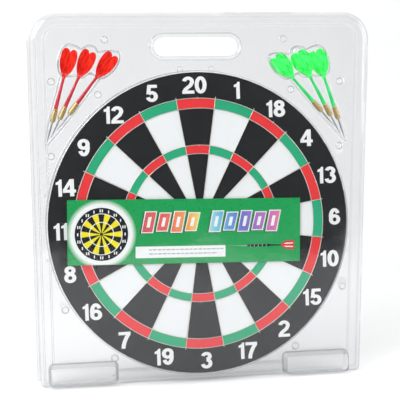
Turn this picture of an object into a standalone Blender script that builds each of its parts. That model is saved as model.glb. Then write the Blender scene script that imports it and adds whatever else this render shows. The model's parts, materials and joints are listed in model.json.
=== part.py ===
"""Wired dartboard and six steel-tip darts in a clear clamshell pack that opens on a fold.

X runs across the pack, Z runs up it, and its front looks along -Y. The pack stands on its two
feet at Z = 0. Every size is in metres. The parting plane, where the two halves of the pack meet,
is the plane that most depths are counted from: a negative depth is in front of it.
"""

import math

import bmesh
import bpy
from mathutils import Matrix, Vector

# Pack outline. The left edge is the straight fold; the right edge leans in towards the foot.
PACK_LEFT = -0.2176
PACK_RIGHT_TOP = 0.2190
PACK_RIGHT_FOOT = 0.2008
PACK_TOP = 0.4670
TOP_CORNER_R = 0.0340
FOOT_CORNER_R = 0.0060
WALL = 0.0006
GAP = 0.0003
PARTING_Y = 0.0051

# The fold: two flanges, a hinge strip round their left edges, and the axis it bends on.
FOLD_INSET = 0.0040
FOLD_R = 0.0021
FOLD_WALL = 0.0005
FOLD_AXIS_X = PACK_LEFT + FOLD_R
FOLD_AXIS_Y = PARTING_Y - GAP / 2
FOLD_LOW = 0.0080
FOLD_TOP = PACK_TOP - 0.0280

# Board. Its centre, its thickness from the parting plane, and its radii.
BOARD_X = -0.0086
BOARD_Z = 0.2012
BOARD_TURN = math.radians(0.7)
BOARD_R = 0.1900
EDGE_BAND = 0.0005
BOARD_REAR = -0.0030
BOARD_FACE = -0.0166
SHEET = 0.0004
BUBBLE_DEPTH = 0.0200
BUBBLE_CLEARANCE = 0.0034
BUBBLE_DRAFT = 0.0018

# Wire spider: ring radii, and the radial wires that pass over them.
RING_RADII = {
    "double_ring_outer": 0.1579,
    "double_ring_inner": 0.1455,
    "treble_ring_outer": 0.0990,
    "treble_ring_inner": 0.0884,
    "bull_ring_outer": 0.0159,
    "bull_ring_inner": 0.0064,
}
WIRE_WIDTH = 0.0010
WIRE_HEIGHT = 0.0006
SPOKE_START_R = 0.0200
SPOKE_END_R = 0.1605
SECTORS = 20

# Saw-tooth hanger on the back of the board.
HANGER_Z = BOARD_Z + 0.1500
HANGER_LENGTH = 0.0460
HANGER_HEIGHT = 0.0090
HANGER_THICK = 0.0008
HANGER_PIN_SPACING = 0.0370
PIN_R = 0.0010
PIN_HEAD_R = 0.0024
PIN_LENGTH = 0.0090

# Label card, stuck inside the front bubble and a little out of level.
LABEL_WIDTH = 0.2940
LABEL_HEIGHT = 0.0810
LABEL_X = BOARD_X - 0.0193
LABEL_Z = BOARD_Z - 0.0082
LABEL_TURN = math.radians(-1.05)
LABEL_DEPTH = -0.0187
LABEL_THICK = 0.0004

# Border bead, handle slot, feet and snap studs of the pack.
BEAD_OUTER_INSET = 0.0045
BEAD_INNER_INSET = 0.0175
BEAD_FRONT = 0.0042
BEAD_REAR = 0.0032
BEAD_DRAFT = 0.0016
SLOT_X = BOARD_X + 0.0010
SLOT_Z = BOARD_Z + 0.2230
SLOT_LENGTH = 0.1070
SLOT_HEIGHT = 0.0240
SLOT_RIM = 0.0055
SLOT_RIM_DEPTH = 0.0050
SLOT_RIM_DRAFT = 0.0020
FOOT_LENGTH = 0.0880
FOOT_HEIGHT = 0.0290
FOOT_FRONT = 0.0180
FOOT_REAR = 0.0098
FOOT_DRAFT = 0.0030
FOOT_CENTRES = (BOARD_X - 0.1510, BOARD_X + 0.1500)
STUD_R = 0.0050
STUD_HEIGHT = 0.0032
STUD_DRAFT = 0.0010
STUDS = (
    (-0.1137, 0.2322), (0.1137, 0.2322),
    (-0.1806, 0.1810), (0.1868, 0.1775),
    (-0.1235, 0.1643), (0.1224, 0.1679),
    (-0.1835, 0.0888), (0.1855, 0.0945),
    (-0.1716, -0.1042), (0.1876, -0.0891),
    (-0.1113, -0.1686), (0.1237, -0.1652),
)

# Darts. Each lies along its own axis, tip down, from the joint of barrel and stem.
DART_DEPTH = -0.0020
NEEDLE_LENGTH = 0.0270
NEEDLE_R = 0.0011
BARREL_LENGTH = 0.0170
BARREL_R = 0.0036
BORE_DEPTH = 0.0060
STEM_LENGTH = 0.0400
STEM_R = 0.0022
STEM_SLOT_DEPTH = 0.0070
FLIGHT_LENGTH = 0.0360
FLIGHT_SPAN = 0.0146
FIN = 0.0007
FLIGHT_NOTCH = 0.0013
FLIGHT_TAIL_WIDTH = 0.38
# Half-width of a flight as a share of its span, at shares of its length from the stem.
FIN_SHAPE = ((0.12, 0.34), (0.30, 0.72), (0.50, 0.95), (0.66, 1.0), (0.82, 0.93), (0.94, 0.70))
DARTS = {
    "red_1": (-0.1761, 0.1473, 16.0),
    "red_2": (-0.1644, 0.1496, 26.0),
    "red_3": (-0.1496, 0.1537, 38.0),
    "green_1": (0.1517, 0.1522, -41.0),
    "green_2": (0.1670, 0.1482, -28.0),
    "green_3": (0.1795, 0.1449, -18.5),
}
POCKET_DRAFT = 0.0012
FLIGHT_POCKET_MARGIN = 0.0021
FLIGHT_POCKET_FRONT = 0.0136
FLIGHT_POCKET_REAR = 0.0098
STEM_POCKET_FRONT = 0.0086
STEM_POCKET_REAR = 0.0036


# ---------------------------------------------------------------- outlines, as lists of (x, z)


def circle(x, z, radius, steps):
    """Points round a circle, anticlockwise seen from the front."""
    turns = [2 * math.pi * i / steps for i in range(steps)]
    return [(x + radius * math.cos(t), z + radius * math.sin(t)) for t in turns]


def turned(points, angle, x, z):
    """The points turned by the angle about the origin and then moved to x, z."""
    c, s = math.cos(angle), math.sin(angle)
    return [(x + c * px - s * pz, z + s * px + c * pz) for px, pz in points]


def inset_corners(corners, distance):
    """Convex corners (x, z, radius) with every side moved inwards by the distance."""
    moved = []
    for i, (x, z, radius) in enumerate(corners):
        here = Vector((x, z))
        before = (here - Vector(corners[i - 1][:2])).normalized()
        after = (Vector(corners[(i + 1) % len(corners)][:2]) - here).normalized()
        normal_before = Vector((-before.y, before.x))
        normal_after = Vector((-after.y, after.x))
        shift = (normal_before + normal_after) / (1 + normal_before.dot(normal_after))
        place = here + shift * distance
        moved.append((place.x, place.y, max(radius - distance, 0.0005)))
    return moved


def rounded(corners, inset=0.0, steps=6):
    """Outline through convex corners (x, z, radius), anticlockwise, each rounded by an arc."""
    corners = inset_corners(corners, inset)
    outline = []
    for i, (x, z, radius) in enumerate(corners):
        here = Vector((x, z))
        before = (here - Vector(corners[i - 1][:2])).normalized()
        after = (Vector(corners[(i + 1) % len(corners)][:2]) - here).normalized()
        turn = before.angle(after)
        start = here - before * radius * math.tan(turn / 2)
        centre = start + Vector((-before.y, before.x)) * radius
        first = math.atan2(start.y - centre.y, start.x - centre.x)
        for step in range(steps + 1):
            angle = first + turn * step / steps
            outline.append((centre.x + radius * math.cos(angle), centre.y + radius * math.sin(angle)))
    return outline


def rectangle(x0, z0, x1, z1, radius):
    return [(x0, z0, radius), (x1, z0, radius), (x1, z1, radius), (x0, z1, radius)]


def pack_corners():
    """The pack's flange, without the strip that the fold takes on its left."""
    left = PACK_LEFT + FOLD_INSET
    return [
        (left, 0.0, FOOT_CORNER_R),
        (PACK_RIGHT_FOOT, 0.0, FOOT_CORNER_R),
        (PACK_RIGHT_TOP, PACK_TOP, TOP_CORNER_R),
        (left, PACK_TOP, TOP_CORNER_R),
    ]


# ---------------------------------------------------------------- solids


def material(name, colour, roughness, metallic=0.0, alpha=1.0):
    made = bpy.data.materials.new(name)
    made.use_nodes = True
    shader = made.node_tree.nodes["Principled BSDF"]
    shader.inputs["Base Color"].default_value = (*colour, 1.0)
    shader.inputs["Roughness"].default_value = roughness
    shader.inputs["Metallic"].default_value = metallic
    shader.inputs["Alpha"].default_value = alpha
    return made


def finish(name, bm, mat=None, parent=None):
    """Turns the bmesh into an object, with its faces outward. A solid with no material is a tool."""
    bmesh.ops.triangulate(bm, faces=[face for face in bm.faces if len(face.verts) > 4])
    bmesh.ops.recalc_face_normals(bm, faces=bm.faces[:])
    mesh = bpy.data.meshes.new(name)
    bm.to_mesh(mesh)
    bm.free()
    made = bpy.data.objects.new(name, mesh)
    bpy.context.scene.collection.objects.link(made)
    made.parent = parent
    if mat is None:
        made.hide_render = True
        made.display_type = "WIRE"
    else:
        mesh.materials.append(mat)
        mesh.shade_smooth()
        mesh.set_sharp_from_angle(angle=math.radians(30))
    return made


def boolean(target, tool, operation):
    modifier = target.modifiers.new(tool.name, "BOOLEAN")
    modifier.operation = operation
    modifier.object = tool


def add_loft(bm, rings):
    """A closed solid through rings (y, outline) that have the same number of points."""
    rows = [[bm.verts.new((x, y, z)) for x, z in outline] for y, outline in rings]
    count = len(rows[0])
    for low, high in zip(rows, rows[1:]):
        for i in range(count):
            bm.faces.new((low[i], low[(i + 1) % count], high[(i + 1) % count], high[i]))
    bm.faces.new(rows[0])
    bm.faces.new(rows[-1])


def add_band(bm, rings):
    """A closed ring-shaped solid through (y, outer outline, inner outline), from back to front."""
    path = [(y, outer) for y, outer, _ in rings] + [(y, inner) for y, _, inner in reversed(rings)]
    rows = [[bm.verts.new((x, y, z)) for x, z in outline] for y, outline in path]
    count = len(rows[0])
    for low, high in zip(rows, rows[1:] + rows[:1]):
        for i in range(count):
            bm.faces.new((low[i], low[(i + 1) % count], high[(i + 1) % count], high[i]))


def add_hull(bm, rings):
    """The convex solid round the points of rings (y, outline)."""
    points = [bm.verts.new((x, y, z)) for y, outline in rings for x, z in outline]
    made = bmesh.ops.convex_hull(bm, input=points)
    bmesh.ops.delete(bm, geom=made["geom_interior"], context="VERTS")


def add_lathe(bm, profile, steps):
    """A solid turned about Z from a profile (r, z) whose first and last points are on the axis."""
    ends = [bm.verts.new((0, 0, z)) for _, z in (profile[0], profile[-1])]
    rows = []
    for radius, height in profile[1:-1]:
        turns = [2 * math.pi * i / steps for i in range(steps)]
        rows.append([bm.verts.new((radius * math.cos(t), radius * math.sin(t), height)) for t in turns])
    for i in range(steps):
        j = (i + 1) % steps
        bm.faces.new((ends[0], rows[0][i], rows[0][j]))
        bm.faces.new((ends[1], rows[-1][j], rows[-1][i]))
        for low, high in zip(rows, rows[1:]):
            bm.faces.new((low[i], low[j], high[j], high[i]))


def disc(name, radius, rear, front, mat):
    bm = bmesh.new()
    outline = circle(BOARD_X, BOARD_Z, radius, 72)
    add_loft(bm, [(PARTING_Y + rear, outline), (PARTING_Y + front, outline)])
    return finish(name, bm, mat)


def lathe(name, profile, steps, mat=None, parent=None):
    bm = bmesh.new()
    add_lathe(bm, profile, steps)
    return finish(name, bm, mat, parent)


# ---------------------------------------------------------------- board


def board(mats):
    """Core, printed face, backing sheet and edge band, each a gap apart."""
    core_r = BOARD_R - EDGE_BAND - GAP
    core = disc("board_core", core_r, BOARD_REAR - SHEET - GAP, BOARD_FACE + SHEET + GAP, mats["fibre"])
    disc("face_sheet", core_r, BOARD_FACE + SHEET, BOARD_FACE, mats["face"])
    backing = disc("back_sheet", core_r, BOARD_REAR, BOARD_REAR - SHEET, mats["backing"])
    bm = bmesh.new()
    outer = circle(BOARD_X, BOARD_Z, BOARD_R, 72)
    inner = circle(BOARD_X, BOARD_Z, BOARD_R - EDGE_BAND, 72)
    add_band(bm, [(PARTING_Y + BOARD_REAR, outer, inner), (PARTING_Y + BOARD_FACE, outer, inner)])
    finish("edge_band", bm, mats["band"])
    return core, backing


def ring_wire(name, radius, mat):
    bm = bmesh.new()
    steps = 56 if radius > 0.05 else 20
    outer = circle(BOARD_X, BOARD_Z, radius + WIRE_WIDTH / 2, steps)
    inner = circle(BOARD_X, BOARD_Z, radius - WIRE_WIDTH / 2, steps)
    rear = PARTING_Y + BOARD_FACE - GAP
    add_band(bm, [(rear, outer, inner), (rear - WIRE_HEIGHT, outer, inner)])
    finish(name, bm, mat)


def spoke_pair(index, mat):
    """One wire bent into a V: up one sector line, across near the bull and back up the next line."""
    sector = 2 * math.pi / SECTORS
    middle = math.pi / 2 + BOARD_TURN - 2 * sector * index
    half = WIRE_WIDTH / 2
    edges = []
    for side in (-1, 1):
        r_in = SPOKE_START_R + side * half
        legs = [(r, sector / 2) for r in (SPOKE_END_R, r_in)]
        path = [(r, angle) for r, angle in legs] + [(r, -angle) for r, angle in reversed(legs)]
        shifts = [side * half, side * half, -side * half, -side * half]
        for (r, angle), shift in zip(path, shifts):
            x = r * math.cos(middle + angle) + shift * math.sin(middle + angle)
            z = r * math.sin(middle + angle) - shift * math.cos(middle + angle)
            edges.append((BOARD_X + x, BOARD_Z + z))
    rear = PARTING_Y + BOARD_FACE - 2 * GAP - WIRE_HEIGHT
    bm = bmesh.new()
    add_loft(bm, [(rear, edges[:4] + edges[:3:-1]), (rear - WIRE_HEIGHT, edges[:4] + edges[:3:-1])])
    finish(f"spoke_pair_{index + 1:02d}", bm, mat)


def hanger(mats, core, backing):
    """A saw-tooth bar held on the back of the board by two pins."""
    left, right = BOARD_X - HANGER_LENGTH / 2, BOARD_X + HANGER_LENGTH / 2
    top, low = HANGER_Z + HANGER_HEIGHT / 2, HANGER_Z - HANGER_HEIGHT / 2
    teeth = 9
    tooth = HANGER_LENGTH * 0.45 / teeth
    outline = [(right, top), (left, top), (left, low)]
    for i in range(teeth):
        start = BOARD_X - tooth * teeth / 2 + tooth * i
        outline += [(start, low), (start + tooth / 2, low + tooth * 0.6)]
    outline += [(BOARD_X + tooth * teeth / 2, low), (right, low)]
    front = PARTING_Y + BOARD_REAR + GAP
    bm = bmesh.new()
    add_loft(bm, [(front, outline), (front + HANGER_THICK, outline)])
    plate = finish("hanger_plate", bm, mats["steel"])
    rear = front + HANGER_THICK + GAP
    for side, name in ((-1, "left"), (1, "right")):
        place = Matrix.Translation((BOARD_X + side * HANGER_PIN_SPACING / 2, rear, HANGER_Z))
        place = place @ Matrix.Rotation(math.pi / 2, 4, "X")
        head = ((0, -0.0009), (PIN_HEAD_R * 0.6, -0.0008), (PIN_HEAD_R, -0.0003), (PIN_HEAD_R, 0))
        shank = ((PIN_R, 0), (PIN_R, PIN_LENGTH - 0.0020), (0, PIN_LENGTH))
        pin = lathe(f"hanger_pin_{name}", head + shank, 12, mats["steel"])
        pin.matrix_world = place
        hole = ((0, -0.0001), (PIN_R + GAP, -0.0001), (PIN_R + GAP, PIN_LENGTH + GAP), (0, PIN_LENGTH + GAP))
        drill = lathe(f"pin_hole_{name}", hole, 12)
        drill.matrix_world = place
        for target in (plate, backing, core):
            boolean(target, drill, "DIFFERENCE")


def label_card(mat):
    w, h = LABEL_WIDTH / 2, LABEL_HEIGHT / 2
    outline = turned([(-w, -h), (w, -h), (w, h), (-w, h)], LABEL_TURN, LABEL_X, LABEL_Z)
    rear = PARTING_Y + LABEL_DEPTH
    bm = bmesh.new()
    add_loft(bm, [(rear, outline), (rear - LABEL_THICK, outline)])
    finish("label_card", bm, mat)


# ---------------------------------------------------------------- darts


def needle_profile():
    seat = -BARREL_LENGTH + BORE_DEPTH
    tip = -BARREL_LENGTH - NEEDLE_LENGTH
    return (
        (0, tip), (NEEDLE_R * 0.35, tip + 0.0008), (NEEDLE_R * 0.85, tip + 0.0090),
        (NEEDLE_R, tip + 0.0130), (NEEDLE_R, seat), (0, seat),
    )


def barrel_profile():
    """Two blind bores, one for the needle and one for the stem, inside a grooved grip."""
    front, needle_seat, stem_seat = -BARREL_LENGTH, -BARREL_LENGTH + BORE_DEPTH + GAP, -BORE_DEPTH - GAP
    needle_bore, stem_bore = NEEDLE_R + GAP, STEM_R * 0.7 + GAP
    profile = [(0, needle_seat), (needle_bore, needle_seat), (needle_bore, front)]
    profile += [(BARREL_R * 0.62, front), (BARREL_R * 0.95, front + 0.0030)]
    for groove in range(3):
        start = front + 0.0045 + 0.0030 * groove
        profile += [(BARREL_R, start), (BARREL_R * 0.88, start + 0.0006), (BARREL_R, start + 0.0012)]
    profile += [(BARREL_R * 0.92, -0.0030), (BARREL_R * 0.78, 0)]
    profile += [(stem_bore, 0), (stem_bore, stem_seat), (0, stem_seat)]
    return profile


def stem_profile():
    spigot = STEM_R * 0.7
    return (
        (0, -BORE_DEPTH), (spigot, -BORE_DEPTH), (spigot, GAP), (STEM_R * 1.2, GAP), (STEM_R * 1.2, 0.0025),
        (STEM_R * 1.05, 0.0035), (STEM_R * 0.78, STEM_LENGTH - 0.0120), (STEM_R * 0.95, STEM_LENGTH - 0.0080),
        (STEM_R * 0.95, STEM_LENGTH), (0, STEM_LENGTH),
    )


def fin_levels():
    """(distance along the dart, reach of the fins): a tab for the slotted stem, then a teardrop."""
    start = STEM_LENGTH + GAP
    levels = [(STEM_LENGTH - STEM_SLOT_DEPTH + GAP, STEM_R), (start, STEM_R)]
    levels += [(start + FLIGHT_LENGTH * share, FLIGHT_SPAN * width) for share, width in FIN_SHAPE]
    return levels


def add_fins(bm):
    """Four crossed fins in one body: a plus lofted along Z, with its middle dipped at the rear end."""
    half = FIN / 2
    arms = [Matrix.Rotation(math.radians(45 + 90 * arm), 4, "Z") for arm in range(4)]
    tail = STEM_LENGTH + GAP + FLIGHT_LENGTH
    levels = [(z, z, reach) for z, reach in fin_levels()]
    levels.append((tail - FLIGHT_NOTCH, tail, FLIGHT_SPAN * FLIGHT_TAIL_WIDTH))
    rows = []
    for middle_z, z, reach in levels:
        places = ((reach, -half, z), (reach, half, z), (half, half, middle_z))
        rows.append([bm.verts.new(arm @ Vector(place)) for arm in arms for place in places])
    for low, high in zip(rows, rows[1:]):
        for i in range(12):
            bm.faces.new((low[i], low[(i + 1) % 12], high[(i + 1) % 12], high[i]))
    for row in (rows[0], rows[-1]):
        bm.faces.new(row[2::3])
        for i in range(0, 12, 3):
            bm.faces.new((row[i], row[i + 1], row[i + 2], row[i - 1]))


def stem_slots(parent, name):
    """Two crossed slots, cut into the rear end of the stem, that the flight's tab slides into."""
    tools = []
    for turn, tag in ((45, "a"), (135, "b")):
        bm = bmesh.new()
        bmesh.ops.create_cube(bm, size=1.0)
        size = Matrix.Diagonal((0.0080, FIN + 2 * GAP, STEM_SLOT_DEPTH + 0.0010, 1))
        place = Matrix.Translation((0, 0, STEM_LENGTH - STEM_SLOT_DEPTH / 2 + 0.0005))
        bm.transform(place @ Matrix.Rotation(math.radians(turn), 4, "Z") @ size)
        tools.append(finish(f"stem_slot_{tag}_{name}", bm, None, parent))
    return tools


def dart(name, mats):
    x, z, lean = DARTS[name]
    holder = bpy.data.objects.new(f"dart_{name}", None)
    bpy.context.scene.collection.objects.link(holder)
    holder.location = (BOARD_X + x, PARTING_Y + DART_DEPTH, BOARD_Z + z)
    holder.rotation_euler = (0, math.radians(lean), 0)
    colour = mats["red"] if name.startswith("red") else mats["green"]
    stem_colour = mats["red_stem"] if name.startswith("red") else mats["green_stem"]
    lathe(f"needle_{name}", needle_profile(), 10, mats["steel"], holder)
    lathe(f"barrel_{name}", barrel_profile(), 14, mats["brass"], holder)
    stem = lathe(f"stem_{name}", stem_profile(), 12, stem_colour, holder)
    for tool in stem_slots(holder, name):
        boolean(stem, tool, "DIFFERENCE")
    bm = bmesh.new()
    add_fins(bm)
    finish(f"flight_{name}", bm, colour, holder)


# ---------------------------------------------------------------- pack


def flange(name, near, far, mat):
    """The flat sheet of one half, between two depths from the parting plane."""
    bm = bmesh.new()
    outline = rounded(pack_corners())
    add_loft(bm, [(PARTING_Y + near, outline), (PARTING_Y + far, outline)])
    return finish(name, bm, mat)


def along(name, distance):
    """Where a dart's axis is, in x and z, at a distance from its barrel's rear end."""
    x, z, lean = DARTS[name]
    lean = math.radians(lean)
    return BOARD_X + x + distance * math.sin(lean), BOARD_Z + z + distance * math.cos(lean)


def flight_circles(colour, grow):
    """Circles round the three flights of one colour, as wide as the crossed fins are."""
    circles = []
    for name in (n for n in DARTS if n.startswith(colour)):
        for share, width in ((0.0, 0.2), *FIN_SHAPE, (1.0, FLIGHT_TAIL_WIDTH)):
            x, z = along(name, STEM_LENGTH + FLIGHT_LENGTH * share)
            radius = FLIGHT_SPAN * width * math.sqrt(0.5) + FLIGHT_POCKET_MARGIN
            circles += circle(x, z, radius + grow, 12)
    return circles


def stem_circles(colour, grow):
    """Circles round the needles, barrels and stems of one colour."""
    tip = -BARREL_LENGTH - NEEDLE_LENGTH
    circles = []
    for name in (n for n in DARTS if n.startswith(colour)):
        for distance, radius in ((tip, 0.0030), (-BARREL_LENGTH / 2, 0.0053), (STEM_LENGTH, 0.0048)):
            x, z = along(name, distance)
            circles += circle(x, z, radius + grow, 10)
    return circles


def add_pockets(circles, bm, start, end, grow, draft):
    for colour in ("red", "green"):
        add_hull(bm, [(start, circles(colour, grow)), (end, circles(colour, grow - draft))])


def add_flight_pockets(bm, start, end, grow):
    add_pockets(flight_circles, bm, start, end, grow, POCKET_DRAFT)


def add_stem_pockets(bm, start, end, grow):
    add_pockets(stem_circles, bm, start, end, grow, POCKET_DRAFT)


def add_bubble(bm, start, end, grow):
    """The round bubble over the board."""
    radius = BOARD_R + BUBBLE_CLEARANCE - WALL + grow
    rings = [(start, radius), (end, radius - BUBBLE_DRAFT)]
    add_loft(bm, [(y, circle(BOARD_X, BOARD_Z, r, 72)) for y, r in rings])


def add_bead(bm, start, end, grow):
    """The raised band that runs round the border."""
    rings = []
    for y, draft in ((start, 0), (end, BEAD_DRAFT)):
        outer = rounded(pack_corners(), BEAD_OUTER_INSET + WALL - grow + draft)
        inner = rounded(pack_corners(), BEAD_INNER_INSET - WALL + grow - draft)
        rings.append((y, outer, inner))
    add_band(bm, rings)


def add_feet(bm, start, end, grow):
    """Two boxes at the foot. Their lower sides have no draft, because the pack stands on them."""
    for x in FOOT_CENTRES:
        rings = []
        for y, draft in ((start, 0), (end, FOOT_DRAFT)):
            half = FOOT_LENGTH / 2 - WALL + grow - draft
            top = FOOT_HEIGHT - WALL + grow - draft
            rings.append((y, rounded(rectangle(x - half, WALL - grow, x + half, top, 0.004), steps=3)))
        add_loft(bm, rings)


def add_slot_rim(bm, start, end, grow):
    """The raised rim round the handle slot."""
    rings = []
    for y, draft in ((start, 0), (end, SLOT_RIM_DRAFT)):
        margin = SLOT_RIM - WALL + grow - draft
        rings.append((y, slot_outline(margin)))
    add_loft(bm, rings)


def slot_outline(margin):
    half, height = SLOT_LENGTH / 2 + margin, SLOT_HEIGHT / 2 + margin
    box = rectangle(SLOT_X - half, SLOT_Z - height, SLOT_X + half, SLOT_Z + height, height * 0.98)
    return rounded(box, steps=6)


def add_studs(bm, start, end, grow):
    """Snap studs. The rear half's fit inside those of the front half."""
    for x, z in STUDS:
        rings = [(start, STUD_R - WALL + grow), (end, STUD_R - WALL + grow - STUD_DRAFT)]
        add_loft(bm, [(y, circle(BOARD_X + x, BOARD_Z + z, r, 12)) for y, r in rings])


def draw_out(shell, name, add, way, depth, grow=0.0):
    """Raises a hollow form out of the sheet: way is -1 to the front and 1 to the rear."""
    middle = -GAP - WALL / 2 if shell.name == "front_shell" else WALL / 2
    outer, inner = bmesh.new(), bmesh.new()
    add(outer, PARTING_Y + middle, PARTING_Y + way * depth, WALL + grow)
    add(inner, PARTING_Y + middle - way * 3 * WALL, PARTING_Y + way * (depth - WALL), grow)
    return finish(f"{shell.name}_{name}_outer", outer), finish(f"{shell.name}_{name}_inner", inner)


def form(shell, features):
    """Joins every outer form to the sheet, then cuts every inner one, then the handle slot."""
    tools = [draw_out(shell, *feature) for feature in features]
    for outer, _ in tools:
        boolean(shell, outer, "UNION")
    for _, inner in tools:
        boolean(shell, inner, "DIFFERENCE")
    bm = bmesh.new()
    add_loft(bm, [(y, slot_outline(0)) for y in (PARTING_Y - 0.020, PARTING_Y + 0.020)])
    boolean(shell, finish(f"{shell.name}_handle_slot", bm), "DIFFERENCE")


def front_shell(mat):
    shell = flange("front_shell", -GAP, -GAP - WALL, mat)
    form(shell, (
        ("bead", add_bead, -1, BEAD_FRONT),
        ("feet", add_feet, -1, FOOT_FRONT),
        ("stem_pockets", add_stem_pockets, -1, STEM_POCKET_FRONT),
        ("flight_pockets", add_flight_pockets, -1, FLIGHT_POCKET_FRONT),
        ("bubble", add_bubble, -1, BUBBLE_DEPTH),
        ("slot_rim", add_slot_rim, -1, SLOT_RIM_DEPTH),
        ("studs", add_studs, -1, GAP + WALL + STUD_HEIGHT),
    ))


def back_shell(mat):
    shell = flange("back_shell", 0, WALL, mat)
    form(shell, (
        ("bead", add_bead, 1, BEAD_REAR),
        ("feet", add_feet, 1, FOOT_REAR),
        ("stem_pockets", add_stem_pockets, 1, STEM_POCKET_REAR),
        ("flight_pockets", add_flight_pockets, 1, FLIGHT_POCKET_REAR),
        ("studs", add_studs, -1, STUD_HEIGHT - GAP, -WALL - GAP * 1.2),
    ))


def hinge_strip(mat):
    """The folded sheet that joins the halves: an open C round the axis they turn on."""
    steps = 8
    outline = []
    for radius, order in ((FOLD_R, range(steps + 1)), (FOLD_R - FOLD_WALL, range(steps, -1, -1))):
        for i in order:
            angle = math.radians(60 + 240 * i / steps)
            outline.append((FOLD_AXIS_X + radius * math.cos(angle), FOLD_AXIS_Y + radius * math.sin(angle)))
    bm = bmesh.new()
    ends = [[bm.verts.new((x, y, z)) for x, y in outline] for z in (FOLD_LOW, FOLD_TOP)]
    bm.faces.new(ends[0])
    bm.faces.new(ends[1])
    for i in range(len(outline)):
        j = (i + 1) % len(outline)
        bm.faces.new((ends[0][i], ends[0][j], ends[1][j], ends[1][i]))
    finish("hinge_strip", bm, mat)


def main():
    for old in list(bpy.data.objects):
        bpy.data.objects.remove(old)
    mats = {
        "clear": material("clear_pvc", (0.86, 0.87, 0.89), 0.12, alpha=0.3),
        "fibre": material("fibre", (0.42, 0.33, 0.24), 0.9),
        "face": material("printed_face", (0.03, 0.03, 0.032), 0.85),
        "backing": material("backing", (0.05, 0.05, 0.05), 0.9),
        "band": material("edge_band", (0.02, 0.02, 0.02), 0.6),
        "wire": material("wire", (0.80, 0.79, 0.74), 0.3, metallic=1.0),
        "steel": material("steel", (0.66, 0.66, 0.68), 0.25, metallic=1.0),
        "brass": material("brass", (0.58, 0.44, 0.20), 0.35, metallic=1.0),
        "red": material("red_flight", (0.90, 0.05, 0.04), 0.3),
        "red_stem": material("red_stem", (0.75, 0.03, 0.03), 0.3),
        "green": material("green_flight", (0.05, 0.85, 0.20), 0.3),
        "green_stem": material("green_stem", (0.04, 0.65, 0.15), 0.3),
        "card": material("label_card", (0.02, 0.38, 0.12), 0.4),
    }
    core, backing = board(mats)
    for name, radius in RING_RADII.items():
        ring_wire(name, radius, mats["wire"])
    for index in range(SECTORS // 2):
        spoke_pair(index, mats["wire"])
    hanger(mats, core, backing)
    label_card(mats["card"])
    for name in DARTS:
        dart(name, mats)
    front_shell(mats["clear"])
    back_shell(mats["clear"])
    hinge_strip(mats["clear"])


main()
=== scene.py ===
"""The looks of a wired dartboard and six darts in a clear clamshell pack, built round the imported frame.

X runs across the pack, Z up it, and its front looks along -Y. Sizes are in metres. The main places
come from the frame's boxes, and the rest are sizes written here. Depths of the pack are counted from its parting plane, where the two
halves meet: a form's height is how far it stands out of that plane.
"""

import json
import math

import bmesh
import bpy
import numpy as np
from mathutils import Matrix, Quaternion, Vector
from mathutils.geometry import delaunay_2d_cdt


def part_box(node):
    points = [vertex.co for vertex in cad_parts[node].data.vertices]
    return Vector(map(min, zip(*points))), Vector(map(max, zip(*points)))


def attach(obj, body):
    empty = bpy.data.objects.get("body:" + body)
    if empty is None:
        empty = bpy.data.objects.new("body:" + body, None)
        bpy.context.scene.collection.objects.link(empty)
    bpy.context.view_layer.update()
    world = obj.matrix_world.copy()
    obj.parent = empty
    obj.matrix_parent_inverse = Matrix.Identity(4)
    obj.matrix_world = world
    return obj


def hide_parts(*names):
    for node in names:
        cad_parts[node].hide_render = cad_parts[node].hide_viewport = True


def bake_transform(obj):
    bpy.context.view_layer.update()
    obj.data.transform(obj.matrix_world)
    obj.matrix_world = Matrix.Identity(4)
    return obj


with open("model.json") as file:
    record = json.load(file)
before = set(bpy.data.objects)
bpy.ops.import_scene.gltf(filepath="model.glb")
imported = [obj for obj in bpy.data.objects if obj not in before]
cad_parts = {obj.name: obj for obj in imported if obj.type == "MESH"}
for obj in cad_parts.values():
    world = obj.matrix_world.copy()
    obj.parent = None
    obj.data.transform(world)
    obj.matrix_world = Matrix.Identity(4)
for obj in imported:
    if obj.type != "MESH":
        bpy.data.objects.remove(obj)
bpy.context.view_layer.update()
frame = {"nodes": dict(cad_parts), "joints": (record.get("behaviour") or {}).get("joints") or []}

REAR_BODY = "pack_back"
FRONT_BODY = "cover"
GAP = 0.0003

# ---------------------------------------------------------------- sizes: boxes from the frame, and own sizes

BAND_LOW, BAND_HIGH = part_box("edge_band")
BOARD_X = (BAND_LOW.x + BAND_HIGH.x) / 2
BOARD_Z = (BAND_LOW.z + BAND_HIGH.z) / 2
BOARD_R = (BAND_HIGH.x - BAND_LOW.x) / 2
BOARD_TURN = math.radians(0.7)
FACE_LOW, FACE_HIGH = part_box("face_sheet")
FACE_FRONT = FACE_LOW.y
FACE_REAR = FACE_HIGH.y
FACE_R = (FACE_HIGH.x - FACE_LOW.x) / 2
SHELL_LOW, SHELL_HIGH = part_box("front_shell")
PARTING_Y = SHELL_HIGH.y + GAP
PACK_LEFT = SHELL_LOW.x
PACK_TOP = SHELL_HIGH.z
PACK_RIGHT_TOP = 0.2190
PACK_RIGHT_FOOT = 0.2008
TOP_CORNER_R = 0.0340
FOOT_CORNER_R = 0.0060

RING_NAMES = (
    "bull_ring_inner", "bull_ring_outer", "treble_ring_inner",
    "treble_ring_outer", "double_ring_inner", "double_ring_outer",
)
WIRE_R = 0.0005
WIRE_LIFT = 0.0005
SPOKE_START_R = 0.0200
SPOKE_END_R = 0.1605
SPOKE_HUMP = 0.0009
SECTORS = 20
CLOCKWISE = (20, 1, 18, 4, 13, 6, 10, 15, 2, 17, 3, 19, 7, 16, 8, 11, 14, 9, 12, 5)
NUMERAL_R = 0.1740
NUMERAL_HEIGHT = 0.0212
NUMERAL_STRETCH = 1.26
NUMERAL_SHIFT = math.radians(0.6)
NUMERAL_THICK = 0.00012

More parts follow.
